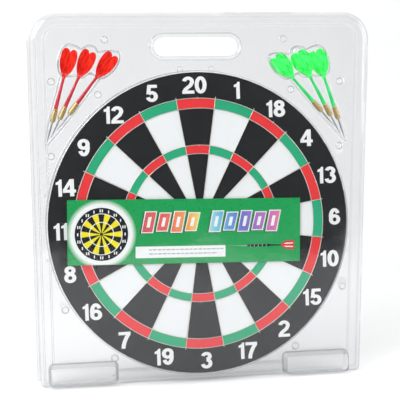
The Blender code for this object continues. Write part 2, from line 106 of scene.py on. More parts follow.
LABEL_WIDTH = 0.2940
LABEL_HEIGHT = 0.0810
LABEL_X = BOARD_X - 0.0193
LABEL_Z = BOARD_Z - 0.0082
LABEL_TURN = math.radians(-1.05)
CARD_LOW, CARD_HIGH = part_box("label_card")
LABEL_FRONT = CARD_LOW.y
LABEL_REAR = CARD_HIGH.y
INK = 0.00004

SHEET_THICK = 0.0004
FLANGE_FRONT = 0.0009
FLANGE_REAR = 0.0006
BUBBLE_HEIGHT = PARTING_Y - SHELL_LOW.y
BUBBLE_R = BOARD_R + 0.0034
BUBBLE_DRAFT = 0.0018
BEAD_INSETS = (0.0045, 0.0175)
BEAD_HEIGHT = {"front": 0.0042, "rear": 0.0032}
SLOT_X = BOARD_X + 0.0010
SLOT_Z = BOARD_Z + 0.2230
SLOT_LENGTH = 0.1070
SLOT_HEIGHT = 0.0240
SLOT_RIM = 0.0055
SLOT_RIM_HEIGHT = 0.0050
FOOT_LENGTH = 0.0880
FOOT_TOP = 0.0290
FOOT_HEIGHT = {"front": 0.0180, "rear": 0.0098}
FOOT_CENTRES = (BOARD_X - 0.1510, BOARD_X + 0.1500)
STUD_R = 0.0050
STUD_HEIGHT = 0.0032
STUDS = (
    (-0.1137, 0.2322), (0.1137, 0.2322),
    (-0.1806, 0.1810), (0.1868, 0.1775),
    (-0.1235, 0.1643), (0.1224, 0.1679),
    (-0.1835, 0.0888), (0.1855, 0.0945),
    (-0.1716, -0.1042), (0.1876, -0.0891),
    (-0.1113, -0.1686), (0.1237, -0.1652),
)
NUBS = ((-0.0200, 0.1944), (0.0200, 0.1944))
FLIGHT_POCKET = {"front": 0.0136, "rear": 0.0098}
STEM_POCKET = {"front": 0.0086, "rear": 0.0036}
NEEDLE_POCKET_R = 0.0032
BARREL_POCKET_EXTRA = 0.0022
FLIGHT_POCKET_MARGIN = 0.0024

FOLD_X, FOLD_Y = frame["joints"][0]["pos_m"][:2]
STRIP_LOW, STRIP_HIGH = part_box("hinge_strip")
FOLD_LOW = STRIP_LOW.z
FOLD_TOP = STRIP_HIGH.z
FOLD_R = FOLD_X - STRIP_LOW.x

DART_Y = PARTING_Y - 0.0020
NEEDLE_LENGTH = 0.0270
NEEDLE_R = 0.0011
BARREL_LENGTH = 0.0170
BARREL_R = 0.0036
BORE_DEPTH = 0.0060
STEM_LENGTH = 0.0400
STEM_R = 0.0022
FLIGHT_LENGTH = 0.0360
FLIGHT_SPAN = 0.0146
FIN_SHAPE = (
    (0.0, 0.16), (0.12, 0.36), (0.30, 0.74), (0.50, 0.96), (0.66, 1.0),
    (0.82, 0.95), (0.94, 0.80), (1.0, 0.60),
)
DARTS = {
    "red_1": (-0.1761, 0.1473, 16.0),
    "red_2": (-0.1644, 0.1496, 26.0),
    "red_3": (-0.1496, 0.1537, 38.0),
    "green_1": (0.1517, 0.1522, -41.0),
    "green_2": (0.1670, 0.1482, -28.0),
    "green_3": (0.1795, 0.1449, -18.5),
}

CAMERA_PLACE = Vector((-0.16223, -1.13019, 0.30003))
CAMERA_AIM = Vector((-0.0086, -0.0115, 0.2314))
CAMERA_ROLL = math.radians(-1.234)
CAMERA_LENS_MM = 81.0
SENSOR_MM = 36.0
ROOM_LIGHT = 0.75
ROOM_DIM = 0.05


# ---------------------------------------------------------------- materials


class Nodes:
    """A material's node tree, with short calls to add and join nodes."""

    def __init__(self, name):
        self.material = bpy.data.materials.new(name)
        self.material.use_nodes = True
        self.tree = self.material.node_tree
        self.shader = self.tree.nodes["Principled BSDF"]
        self.output = self.tree.nodes["Material Output"]
        self.place = self.add("ShaderNodeTexCoord").outputs["Object"]

    def put(self, socket, value):
        if isinstance(value, bpy.types.NodeSocket):
            self.tree.links.new(value, socket)
        else:
            socket.default_value = value

    def add(self, kind, settings=None, **inputs):
        made = self.tree.nodes.new(kind)
        for key, value in (settings or {}).items():
            setattr(made, key, value)
        for key, value in inputs.items():
            self.put(made.inputs[key.replace("_", " ")], value)
        return made

    def noise(self, scale, detail=3.0, rough=0.5, stretch=None):
        place = self.place
        if stretch:
            place = self.add("ShaderNodeMapping", Vector=place, Scale=stretch).outputs[0]
        made = self.add("ShaderNodeTexNoise", Vector=place, Scale=scale, Detail=detail, Roughness=rough)
        return made.outputs["Fac"]

    def between(self, fac, low, high, start=0.0, end=1.0):
        """low where fac is start, high where it is end."""
        made = self.add("ShaderNodeMapRange", Value=fac)
        for key, value in (("From Min", start), ("From Max", end), ("To Min", low), ("To Max", high)):
            made.inputs[key].default_value = value
        return made.outputs[0]

    def mix(self, fac, low, high):
        made = self.add("ShaderNodeMix", {"data_type": "RGBA"})
        self.put(made.inputs[0], fac)
        self.put(made.inputs[6], low if isinstance(low, bpy.types.NodeSocket) else (*low, 1.0))
        self.put(made.inputs[7], high if isinstance(high, bpy.types.NodeSocket) else (*high, 1.0))
        return made.outputs[2]

    def math(self, operation, first, second=0.0):
        made = self.add("ShaderNodeMath", {"operation": operation})
        self.put(made.inputs[0], first)
        self.put(made.inputs[1], second)
        return made.outputs[0]

    def bump(self, height, distance, strength=1.0, normal=None):
        made = self.add("ShaderNodeBump", Height=height, Distance=distance, Strength=strength)
        if normal is not None:
            self.put(made.inputs["Normal"], normal)
        return made.outputs[0]

    def set(self, **inputs):
        for key, value in inputs.items():
            if isinstance(value, tuple) and len(value) == 3:
                value = (*value, 1.0)
            self.put(self.shader.inputs[key.replace("_", " ")], value)
        return self.material

    def show_mixed(self, share, other):
        """Shows the other shader where share is 0 and the material's own where it is 1."""
        both = self.add("ShaderNodeMixShader")
        self.put(both.inputs[0], share)
        self.put(both.inputs[1], other)
        self.put(both.inputs[2], self.shader.outputs[0])
        self.put(self.output.inputs["Surface"], both.outputs[0])


def scaled(colour, factor):
    return tuple(min(part * factor, 1.0) for part in colour)


def printed(name, colour, rough=0.55, speckle=0.12, shine=0.35):
    """Ink on coated paper over fibreboard: faint fibre relief, uneven ink and small scuffs."""
    n = Nodes(name)
    fibres = n.noise(900, 5.0, 0.7)
    patches = n.noise(28, 4.0, 0.6)
    scuffs = n.between(n.noise(160, 6.0, 0.75, (1.0, 1.0, 0.25)), 0.0, 1.0, 0.62, 0.74)
    ink = n.mix(fibres, scaled(colour, 1 - speckle), scaled(colour, 1 + speckle))
    ink = n.mix(n.between(patches, 0.0, 0.5, 0.35, 0.8), ink, scaled(colour, 1 + speckle * 1.5))
    grey = sum(colour) / 3
    worn = n.mix(n.math("MULTIPLY", scuffs, 0.10), ink, (grey + 0.05,) * 3)
    relief = n.bump(fibres, 0.00008, 0.5)
    relief = n.bump(patches, 0.0004, 0.35, relief)
    rough_map = n.between(n.math("ADD", fibres, scuffs), rough - 0.08, rough + 0.10, 0.3, 1.2)
    return n.set(Base_Color=worn, Roughness=rough_map, Normal=relief, Specular_IOR_Level=shine)


def wire_metal(name, colour, rough):
    """Drawn wire: lengthwise streaks and dull spots."""
    n = Nodes(name)
    spots = n.noise(420, 4.0, 0.6)
    fine = n.noise(2600, 2.0, 0.5)
    tone = n.mix(n.between(spots, 0.0, 1.0, 0.35, 0.7), scaled(colour, 0.82), colour)
    rough_map = n.between(fine, rough - 0.08, rough + 0.14, 0.3, 0.7)
    return n.set(Base_Color=tone, Roughness=rough_map, Metallic=1.0, Normal=n.bump(fine, 0.00004, 0.4))


def brass():
    """Turned brass with cutting rings, random tarnish, and a paler tone on its sharp edges."""
    n = Nodes("turned_brass")
    tarnish = n.noise(300, 5.0, 0.65)
    fine = n.noise(1800, 3.0, 0.5)
    edge = n.add("ShaderNodeNewGeometry").outputs["Pointiness"]
    tone = n.mix(n.between(tarnish, 0.0, 1.0, 0.35, 0.7), (0.60, 0.44, 0.17), (0.36, 0.24, 0.09))
    tone = n.mix(n.between(edge, 0.0, 1.0, 0.50, 0.56), tone, (0.82, 0.68, 0.36))
    rough_map = n.between(tarnish, 0.22, 0.48, 0.3, 0.7)
    return n.set(Base_Color=tone, Roughness=rough_map, Metallic=1.0, Normal=n.bump(fine, 0.00006, 0.5))


def moulded(name, deep, light, glow, rough=0.18):
    """Translucent moulded plastic: flow streaks, paler where it is thin, a clear gloss, and a painted glow
    that makes it bright.
    """
    n = Nodes(name)
    flow = n.noise(240, 3.0, 0.55, (1.0, 1.0, 0.35))
    grain = n.noise(1500, 2.0, 0.5)
    tone = n.mix(n.between(flow, 0.0, 1.0, 0.36, 0.62), deep, light)
    rough_map = n.between(grain, rough - 0.05, rough + 0.08, 0.3, 0.7)
    relief = n.bump(flow, 0.0002, 0.35, n.bump(grain, 0.00003, 0.3))
    # painted glow: the emission gives off the plastic's own tone as light, at the strength given by glow,
    # though it is no lamp
    n.set(Emission_Color=tone, Emission_Strength=glow, Subsurface_Weight=0.25, Subsurface_Scale=0.002)
    return n.set(Base_Color=tone, Roughness=rough_map, Normal=relief, Coat_Weight=0.3, Coat_Roughness=0.08)


def clear_sheet(name, tint, haze):
    """Thin clear PVC: it shows what is behind it, a little darker, and mirrors more at a slant, where painted
    shade darkens it further.
    """
    n = Nodes(name)
    waves = n.noise(9, 2.0, 0.4)
    ripples = n.noise(55, 3.0, 0.5)
    marks = n.noise(240, 6.0, 0.7, (1.0, 1.0, 0.3))
    relief = n.bump(waves, 0.004, 0.5)
    relief = n.bump(ripples, 0.0005, 0.35, relief)
    slant = n.add("ShaderNodeLayerWeight", Blend=0.5, Normal=relief).outputs["Facing"]
    mirror = n.between(n.math("POWER", slant, 5.0), 0.034, 0.85)
    share = n.math("ADD", mirror, n.between(marks, 0.0, haze, 0.55, 0.85))
    rough_map = n.between(marks, 0.05, 0.16, 0.35, 0.8)
    clear = n.mix(waves, scaled(tint, 0.985), tint)
    # painted shade: where the sheet is seen at a slant, what shows through it darkens to 0.58 of the tint, so
    # steep walls read as grey lines
    clear = n.mix(n.math("POWER", slant, 2.5), clear, scaled(tint, 0.58))
    through = n.add("ShaderNodeBsdfTransparent", Color=clear).outputs[0]
    n.set(Base_Color=(0.90, 0.91, 0.93), Roughness=rough_map, Normal=relief, Metallic=1.0)
    n.show_mixed(share, through)
    return n.material


def kraft(name, colour, fibre_scale=350):
    """Pressed paper fibre, seen at the core's edge and on the back."""
    n = Nodes(name)
    fibres = n.noise(fibre_scale, 6.0, 0.7, (1.0, 1.0, 3.0))
    specks = n.noise(fibre_scale * 4, 3.0, 0.6)
    tone = n.mix(n.between(fibres, 0.0, 1.0, 0.3, 0.7), scaled(colour, 0.78), scaled(colour, 1.15))
    tone = n.mix(n.between(specks, 0.0, 0.5, 0.62, 0.72), tone, scaled(colour, 0.45))
    relief = n.bump(fibres, 0.0003, 0.5, n.bump(specks, 0.0001, 0.4))
    return n.set(Base_Color=tone, Roughness=n.between(fibres, 0.78, 0.95, 0.3, 0.7), Normal=relief)


def label_green(centre, radius):
    """The label's green ink, with a soft white glow round the small printed board."""
    n = Nodes("label_green_ink")
    shifted = n.add("ShaderNodeVectorMath", {"operation": "SUBTRACT"})
    n.put(shifted.inputs[0], n.place)
    shifted.inputs[1].default_value = (centre[0], 0.0, centre[1])
    flat = n.add("ShaderNodeVectorMath", {"operation": "MULTIPLY"})
    n.put(flat.inputs[0], shifted.outputs[0])
    flat.inputs[1].default_value = (1.0, 0.0, 1.0)
    away = n.add("ShaderNodeVectorMath", {"operation": "LENGTH"})
    n.put(away.inputs[0], flat.outputs[0])
    glow = n.between(away.outputs["Value"], 1.0, 0.0, radius * 1.13, radius * 1.32)
    ink_noise = n.noise(420, 4.0, 0.6)
    green = n.mix(ink_noise, (0.006, 0.340, 0.085), (0.010, 0.400, 0.105))
    tone = n.mix(glow, green, (0.93, 0.96, 0.93))
    relief = n.bump(ink_noise, 0.00004, 0.4)
    return n.set(Base_Color=tone, Roughness=n.between(ink_noise, 0.24, 0.36, 0.3, 0.7), Normal=relief)


def rainbow(width, centre):
    """Ink that runs from red through yellow, green and blue to violet along the label."""
    n = Nodes("label_rainbow_ink")
    parts = n.add("ShaderNodeSeparateXYZ", Vector=n.place)
    along = n.between(parts.outputs["X"], 0.0, 1.0, centre - width / 2, centre + width / 2)
    ramp = n.add("ShaderNodeValToRGB", Fac=along)
    stops = (
        (0.0, (0.62, 0.02, 0.03)), (0.16, (0.85, 0.03, 0.03)), (0.34, (0.95, 0.35, 0.02)),
        (0.42, (0.90, 0.80, 0.10)), (0.48, (0.30, 0.80, 0.75)), (0.58, (0.03, 0.40, 0.75)),
        (0.72, (0.06, 0.10, 0.60)), (0.88, (0.45, 0.08, 0.50)), (1.0, (0.80, 0.12, 0.35)),
    )
    band = ramp.color_ramp
    for i, (at, colour) in enumerate(stops):
        stop = band.elements[i] if i < 2 else band.elements.new(at)
        stop.position = at
        stop.color = (*colour, 1.0)
    ink_noise = n.noise(500, 4.0, 0.6)
    tone = n.mix(n.between(ink_noise, 0.0, 0.25), ramp.outputs[0], (0.95, 0.9, 0.8))
    return n.set(Base_Color=tone, Roughness=n.between(ink_noise, 0.24, 0.36, 0.3, 0.7))


def make_materials():
    return {
        "black": printed("board_black_ink", (0.0075, 0.0082, 0.0095), 0.66, 0.25),
        "white": printed("board_white_ink", (0.90, 0.92, 0.92), 0.60, 0.03),
        "red": printed("board_red_ink", (0.86, 0.040, 0.045), 0.55, 0.06),
        "green": printed("board_green_ink", (0.020, 0.420, 0.205), 0.55, 0.08),
        "numeral": printed("numeral_ink", (0.93, 0.94, 0.93), 0.50, 0.03),
        "wire": wire_metal("spider_wire", (0.97, 0.95, 0.88), 0.38),
        "steel": wire_metal("needle_steel", (0.42, 0.43, 0.46), 0.24),
        "plated": wire_metal("hanger_plating", (0.62, 0.62, 0.60), 0.34),
        "brass": brass(),
        # the last number of each moulded plastic is the strength of its painted glow
        "red_fin": moulded("flight_red", (0.60, 0.003, 0.006), (0.95, 0.045, 0.022), 0.12),
        "red_stem": moulded("stem_red", (0.52, 0.006, 0.020), (0.72, 0.020, 0.040), 0.06),
        "green_fin": moulded("flight_green", (0.010, 0.58, 0.07), (0.090, 0.95, 0.20), 0.34),
        "green_stem": moulded("stem_green", (0.008, 0.58, 0.12), (0.030, 0.76, 0.20), 0.22),
        "clear": clear_sheet("clear_pvc", (0.976, 0.978, 0.981), 0.025),
        "core": kraft("fibre_core", (0.36, 0.26, 0.16)),
        "backing": kraft("back_paper", (0.33, 0.25, 0.17), 600),
        "band": printed("edge_band_paper", (0.018, 0.018, 0.020), 0.55, 0.3),
        "label_white": printed("label_white_ink", (0.93, 0.94, 0.93), 0.32, 0.02),
        "label_black": printed("label_black_ink", (0.010, 0.011, 0.020), 0.32, 0.2),
        "label_yellow": printed("label_yellow_ink", (0.92, 0.82, 0.030), 0.32, 0.05),
        "label_grey": printed("label_grey_ink", (0.42, 0.44, 0.45), 0.36, 0.05),
        "label_red": printed("label_red_ink", (0.72, 0.030, 0.040), 0.32, 0.06),
        "label_shadow": printed("label_shadow_ink", (0.06, 0.03, 0.03), 0.36, 0.1),
    }


# ---------------------------------------------------------------- meshes


def linked(name, data):
    """A new object in the scene for the mesh, light or camera."""
    made = bpy.data.objects.new(name, data)
    bpy.context.scene.collection.objects.link(made)
    return made


def piece(name, verts, faces, mats, indices=None, sharp=40.0):
    mesh = bpy.data.meshes.new(name)
    mesh.from_pydata([tuple(v) for v in verts], [], faces)
    for mat in mats:
        mesh.materials.append(mat)
    if indices is not None:
        mesh.polygons.foreach_set("material_index", indices)
    bm = bmesh.new()
    bm.from_mesh(mesh)
    bmesh.ops.recalc_face_normals(bm, faces=bm.faces[:])
    bm.to_mesh(mesh)
    bm.free()
    mesh.shade_smooth()
    mesh.set_sharp_from_angle(angle=math.radians(sharp))
    return linked(name, mesh)


class Parts:
    """Vertices, faces and material indices of several bodies that make one piece."""

    def __init__(self):
        self.verts, self.faces, self.indices = [], [], []

    def add(self, verts, faces, index=0):
        start = len(self.verts)
        self.verts += [Vector(v) for v in verts]
        self.faces += [tuple(start + i for i in face) for face in faces]
        self.indices += [index] * len(faces)

    def make(self, name, mats, sharp=40.0):
        return piece(name, self.verts, self.faces, mats, self.indices, sharp)


def grid_faces(rows, count, closed):
    """Quads between rows of count points each, closed round each row or not."""
    steps = count if closed else count - 1
    faces = []
    for row in range(rows - 1):
        for i in range(steps):
            j = (i + 1) % count
            faces.append((row * count + i, row * count + j, (row + 1) * count + j, (row + 1) * count + i))
    return faces


def sheet_faces(rows, count):
    """Faces of a thin sheet: a grid of points, the same grid again behind it, and the edge between."""
    total = rows * count
    faces = grid_faces(rows, count, False)
    faces += [tuple(total + i for i in reversed(face)) for face in faces]
    border = list(range(count)) + [row * count + count - 1 for row in range(1, rows)]
    border += [(rows - 1) * count + i for i in range(count - 2, -1, -1)]
    border += [row * count for row in range(rows - 2, 0, -1)]
    for a, b in zip(border, border[1:] + border[:1]):
        faces.append((a, b, total + b, total + a))
    return faces


def tube(path, radius, sides=8, closed=False):
    """A round wire along a path that lies mostly across Y."""
    points = [Vector(p) for p in path]
    count = len(points)
    verts = []
    for i, point in enumerate(points):
        before = points[i - 1] if closed or i > 0 else point
        after = points[(i + 1) % count] if closed or i < count - 1 else point
        tangent = (after - before).normalized()
        side = Vector((0, 1, 0)) - tangent * tangent.y
        if side.length < 0.05:
            side = Vector((1, 0, 0)) - tangent * tangent.x
        side.normalize()
        across = tangent.cross(side)
        for k in range(sides):
            angle = 2 * math.pi * k / sides
            verts.append(point + (side * math.cos(angle) + across * math.sin(angle)) * radius)
    faces = grid_faces(count, sides, True)
    if closed:
        last = (count - 1) * sides
        for k in range(sides):
            j = (k + 1) % sides
            faces.append((last + k, last + j, j, k))
    else:
        faces.append(tuple(reversed(range(sides))))
        faces.append(tuple(range((count - 1) * sides, count * sides)))
    return verts, faces


def lathed(profile, steps):
    """A solid turned about Z from (r, z) points whose first and last are on the axis."""
    verts = [Vector((0, 0, profile[0][1])), Vector((0, 0, profile[-1][1]))]
    for radius, height in profile[1:-1]:
        for i in range(steps):
            angle = 2 * math.pi * i / steps
            verts.append(Vector((radius * math.cos(angle), radius * math.sin(angle), height)))
    rows = len(profile) - 2
    faces = [tuple(2 + i for i in face) for face in grid_faces(rows, steps, True)]
    last = 2 + (rows - 1) * steps
    for i in range(steps):
        j = (i + 1) % steps
        faces.append((0, 2 + j, 2 + i))
        faces.append((1, last + i, last + j))
    return verts, faces


def polar_point(radius, angle, y):
    return Vector((BOARD_X + radius * math.cos(angle), y, BOARD_Z + radius * math.sin(angle)))


# ---------------------------------------------------------------- board


def ring_radius(name):
    """The middle of a ring wire, from the outer edge of its node's box."""
    low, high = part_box(name)
    return (high.x - low.x) / 2 - WIRE_R


def sector_colour(sector, ring):
    """Material index in (black, white, red, green) of a field of the face."""
    if ring == 0:
        return 2
    if ring == 1:
        return 3
    if ring in (3, 5):
        return 2 if sector % 2 == 0 else 3
    if ring == 6:
        return 0
    return 0 if sector % 2 == 0 else 1


def printed_face(mats):
    """The face sheet, split into its printed fields along the rings and sector lines."""
    steps = 12
    turns = SECTORS * steps
    rings = [ring_radius(name) for name in RING_NAMES] + [FACE_R]
    verts = [polar_point(0, 0, FACE_FRONT), polar_point(0, 0, FACE_REAR)]
    rows = [(r, FACE_FRONT) for r in rings] + [(FACE_R, FACE_REAR)]
    half = math.pi / SECTORS
    for radius, y in rows:
        for i in range(turns):
            angle = math.pi / 2 + BOARD_TURN + half - 2 * math.pi * i / turns
            verts.append(polar_point(radius, angle, y))
    faces, indices = [], []
    for i in range(turns):
        j = (i + 1) % turns
        faces.append((0, 2 + i, 2 + j))
        indices.append(sector_colour(0, 0))
        faces.append((1, 2 + len(rings) * turns + j, 2 + len(rings) * turns + i))
        indices.append(0)
        for ring in range(len(rings)):
            low, high = 2 + ring * turns, 2 + (ring + 1) * turns
            faces.append((low + i, low + j, high + j, high + i))
            indices.append(sector_colour(i // steps, ring + 1) if ring < len(rings) - 1 else 0)
    made = piece("printed_face", verts, faces, [mats[k] for k in ("black", "white", "red", "green")], indices)
    return settle(made, REAR_BODY, "printed_face", "face_sheet")


def settle(made, body, slot, *nodes):
    """Puts a piece on its body and hides the nodes it stands for. The slot is not used."""
    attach(made, body)
    if nodes:
        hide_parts(*nodes)
    return made


def arc(cx, cz, rx, rz, start, end, steps=14):
    """Points along an ellipse, from one angle to another, in degrees."""
    turns = [math.radians(start + (end - start) * i / steps) for i in range(steps + 1)]
    return [(cx + rx * math.cos(t), cz + rz * math.sin(t)) for t in turns]


def stroke(path, width):
    """The outline of a pen stroke of that width along a path."""
    left, right = [], []
    for i, (x, z) in enumerate(path):
        before, after = path[max(i - 1, 0)], path[min(i + 1, len(path) - 1)]
        along = Vector((after[0] - before[0], after[1] - before[1])).normalized()
        left.append((x - along.y * width / 2, z + along.x * width / 2))
        right.append((x + along.y * width / 2, z - along.x * width / 2))
    return left + right[::-1]


def loop_strokes(cx, cz, rx, rz, width):
    """A closed ring as two strokes whose ends overlap."""
    return [stroke(arc(cx, cz, rx, rz, a - 8, a + 188, 20), width) for a in (0, 180)]


def box_outline(x0, z0, x1, z1):
    return [(x0, z0), (x1, z0), (x1, z1), (x0, z1)]


def digit(sign):
    """Outlines of one digit, one unit high and centred on x = 0, in a plain bold grotesque."""
    pen = 0.190
    if sign == "0":
        return loop_strokes(0, 0.5, 0.185, 0.41, pen)
    if sign == "1":
        return [[(0.16, 0), (0.16, 1), (0.03, 1), (-0.02, 0.90), (-0.19, 0.82), (-0.19, 0.69),
                 (-0.05, 0.71), (-0.05, 0)]]
    if sign == "2":
        hook = arc(0, 0.705, 0.185, 0.205, 172, -28, 12)
        tail = [(0.10, 0.475), (-0.02, 0.365), (-0.13, 0.255), (-0.185, 0.11)]
        return [stroke(hook + tail, pen), box_outline(-0.285, 0, 0.285, 0.185)]
    if sign == "3":
        return [stroke(arc(0, 0.735, 0.165, 0.175, 170, -90, 14), pen),
                stroke(arc(0, 0.305, 0.185, 0.215, 90, -172, 16), pen)]
    if sign == "4":
        return [box_outline(-0.30, 0.215, 0.30, 0.39), box_outline(0.02, 0, 0.215, 1.0),
                [(-0.30, 0.39), (-0.125, 0.39), (0.02, 0.66), (0.02, 1.0)]]
    if sign == "5":
        return [box_outline(-0.19, 0.82, 0.25, 1.0),
                [(-0.25, 0.45), (-0.07, 0.47), (-0.02, 1.0), (-0.19, 1.0)],
                stroke(arc(0, 0.32, 0.185, 0.225, 142, -168, 18), pen)]
    if sign == "6":
        back = stroke(arc(0.0, 0.5, 0.185, 0.41, 190, 28, 16), pen)
        return loop_strokes(0, 0.315, 0.185, 0.22, pen) + [back]
    if sign == "7":
        bend = [(0.20, 0.86), (0.09, 0.66), (0.0, 0.42), (-0.055, 0.20), (-0.075, 0.0)]
        return [box_outline(-0.28, 0.81, 0.285, 1.0), stroke(bend, pen)]
    if sign == "8":
        return loop_strokes(0, 0.735, 0.160, 0.172, pen) + loop_strokes(0, 0.300, 0.185, 0.205, pen)
    return [[(-x, 1 - z) for x, z in outline] for outline in digit("6")]


def merged(outlines):
    """Triangles that cover overlapping outlines once, as (points, faces)."""
    points, loops = [], []
    for outline in outlines:
        area = sum(a[0] * b[1] - b[0] * a[1] for a, b in zip(outline, outline[1:] + outline[:1]))
        loops.append(list(range(len(points), len(points) + len(outline))))
        points += [Vector(p) for p in (outline if area > 0 else outline[::-1])]
    verts, _, faces, _, _, origins = delaunay_2d_cdt(points, [], loops, 0, 1e-7)
    kept = [face for face, origin in zip(faces, origins) if origin]
    return [(v.x, v.y) for v in verts], kept


def slab(points, faces, rear, front):
    """A flat plate from triangles in (x, z), closed round its border, between two depths."""
    used = sorted({i for face in faces for i in face})
    new = {old: k for k, old in enumerate(used)}
    count = len(used)
    verts = [Vector((points[i][0], front, points[i][1])) for i in used]
    verts += [Vector((points[i][0], rear, points[i][1])) for i in used]
    out, edges = [], {}
    for face in faces:
        ids = [new[i] for i in face]
        out.append(tuple(ids))
        out.append(tuple(count + i for i in reversed(ids)))
        for a, b in zip(ids, ids[1:] + ids[:1]):
            edges[(a, b)] = True
    for a, b in edges:
        if (b, a) not in edges:
            out.append((a, count + a, count + b, b))
    return verts, out


def numerals(mats):
    """The numbers of the sectors, as thin raised ink that stands upright round the face."""
    parts = Parts()
    turn = Matrix.Rotation(BOARD_TURN, 2)
    for place, number in enumerate(CLOCKWISE):
        signs = str(number)
        widths = [0.44 if sign == "1" else 0.74 for sign in signs]
        angle = math.pi / 2 - 2 * math.pi * place / SECTORS + NUMERAL_SHIFT
        centre = Vector((math.cos(angle), math.sin(angle))) * NUMERAL_R
        pen_x = -sum(widths) / 2
        for sign, width in zip(signs, widths):
            points, faces = merged(digit(sign))
            moved = []
            wide = 1.0 if sign == "1" else NUMERAL_STRETCH
            for x, z in points:
                local = Vector((pen_x + width / 2 + x * wide, z - 0.5)) * NUMERAL_HEIGHT
                spot = turn @ (centre + local)
                moved.append((BOARD_X + spot.x, BOARD_Z + spot.y))
            verts, solid = slab(moved, faces, FACE_FRONT + NUMERAL_THICK, FACE_FRONT - NUMERAL_THICK)
            parts.add(verts, solid)
            pen_x += width
    return settle(parts.make("numerals", [mats["numeral"]]), REAR_BODY, "printed_face")


def spider(mats):
    """Six ring wires, ten bent spoke wires that ride over them, and the staples that hold them."""
    for name in RING_NAMES:
        radius = ring_radius(name)
        steps = 144 if radius > 0.05 else 48
        path = []
        for i in range(steps):
            angle = 2 * math.pi * i / steps
            wander = 0.00025 * math.sin(3 * angle + radius * 90) + 0.00015 * math.sin(7 * angle + radius * 40)
            path.append(polar_point(radius + wander, angle, FACE_FRONT - WIRE_LIFT))
        verts, faces = tube(path, WIRE_R, 8, True)
        settle(piece(name + "_wire", verts, faces, [mats["wire"]], sharp=80), REAR_BODY, "wire", name)
    rings = [ring_radius(name) for name in RING_NAMES if ring_radius(name) > SPOKE_START_R]
    for index in range(SECTORS // 2):
        spoke(index, rings, mats)
    staples(mats)


def spoke(index, rings, mats):
    """One wire: down a sector line, round a small bend near the bull and up the next line."""
    sector = 2 * math.pi / SECTORS
    middle = math.pi / 2 + BOARD_TURN - 2 * sector * index
    node = f"spoke_pair_{index + 1:02d}"
    path = []
    for side in (1, -1):
        slip = 0.0011 * math.sin(index * 2.3 + side)
        leg = [(SPOKE_END_R, 0.0010), (SPOKE_END_R - 0.0002, 0.0004)]
        stops = {SPOKE_END_R - 0.0010, SPOKE_START_R + 0.002, 0.045, 0.070, 0.115, 0.130}
        for ring in rings:
            stops |= {ring + d for d in (-0.0035, -0.0022, -0.0011, 0.0, 0.0011, 0.0022)}
        for r in sorted((r for r in stops if r < SPOKE_END_R), reverse=True):
            rise = sum(math.exp(-(((r - ring) / 0.0014) ** 2)) for ring in rings)
            leg.append((r, -WIRE_LIFT - SPOKE_HUMP * min(rise, 1.0)))
        legs = []
        for r, lift in leg:
            drift = slip * (r - SPOKE_START_R) / SPOKE_END_R
            angle = middle + side * (sector / 2 + drift / max(r, 0.02))
            legs.append(polar_point(r, angle, FACE_FRONT + lift))
        if side == 1:
            path += legs
            for k in range(1, 6):
                angle = middle + side * sector / 2 * math.cos(math.pi * k / 6)
                radius = SPOKE_START_R + 0.0005 - 0.0008 * math.sin(math.pi * k / 6)
                path.append(polar_point(radius, angle, FACE_FRONT - WIRE_LIFT))
        else:
            path += legs[::-1]
    verts, faces = tube(path, WIRE_R, 8)
    settle(piece(f"{node}_wire", verts, faces, [mats["wire"]], sharp=80), REAR_BODY, "wire", node)


def staples(mats):
    """Small staples over the outer wires, in the middle of every other sector."""
    parts = Parts()
    reach, thick = 0.0014, 0.00028
    for name in ("double_ring_outer", "treble_ring_outer"):
        radius = ring_radius(name)
        for index in range(SECTORS // 2):
            angle = math.pi / 2 + BOARD_TURN - 4 * math.pi * index / SECTORS
            angle = angle - 0.012 - 0.02 * math.sin(index * 1.7)
            crown = FACE_FRONT - WIRE_LIFT - WIRE_R - thick
            path = [polar_point(radius - reach, angle, FACE_FRONT + 0.0003)]
            path.append(polar_point(radius - reach, angle, FACE_FRONT - 0.0003))
            path.append(polar_point(radius - reach * 0.6, angle, crown))
            path.append(polar_point(radius + reach * 0.6, angle, crown))
            path.append(polar_point(radius + reach, angle, FACE_FRONT - 0.0003))
            path.append(polar_point(radius + reach, angle, FACE_FRONT + 0.0003))
            parts.add(*tube(path, thick, 6))
    settle(parts.make("wire_staples", [mats["wire"]], 80), REAR_BODY, "wire")


# ---------------------------------------------------------------- label


def circle(x, z, radius, steps):
    turns = [2 * math.pi * i / steps for i in range(steps)]
    return [(x + radius * math.cos(t), z + radius * math.sin(t)) for t in turns]


def convex(points):
    """The convex outline round the points, anticlockwise."""
    points = sorted(set(points))
    sides = []
    for order in (points, points[::-1]):
        chain = []
        for p in order:
            while len(chain) > 1:
                (ax, az), (bx, bz) = chain[-2:]
                if (bx - ax) * (p[1] - az) - (bz - az) * (p[0] - ax) > 0:
                    break
                chain.pop()
            chain.append(p)
        sides += chain[:-1]
    return sides


def printed_plate(parts, outlines, layer, index):
    """One layer of ink on the label, in the label's own plane."""
    points, faces = merged(outlines)
    front = -INK * (layer + 1)
    parts.add(*slab(points, faces, -INK * layer, front), index)


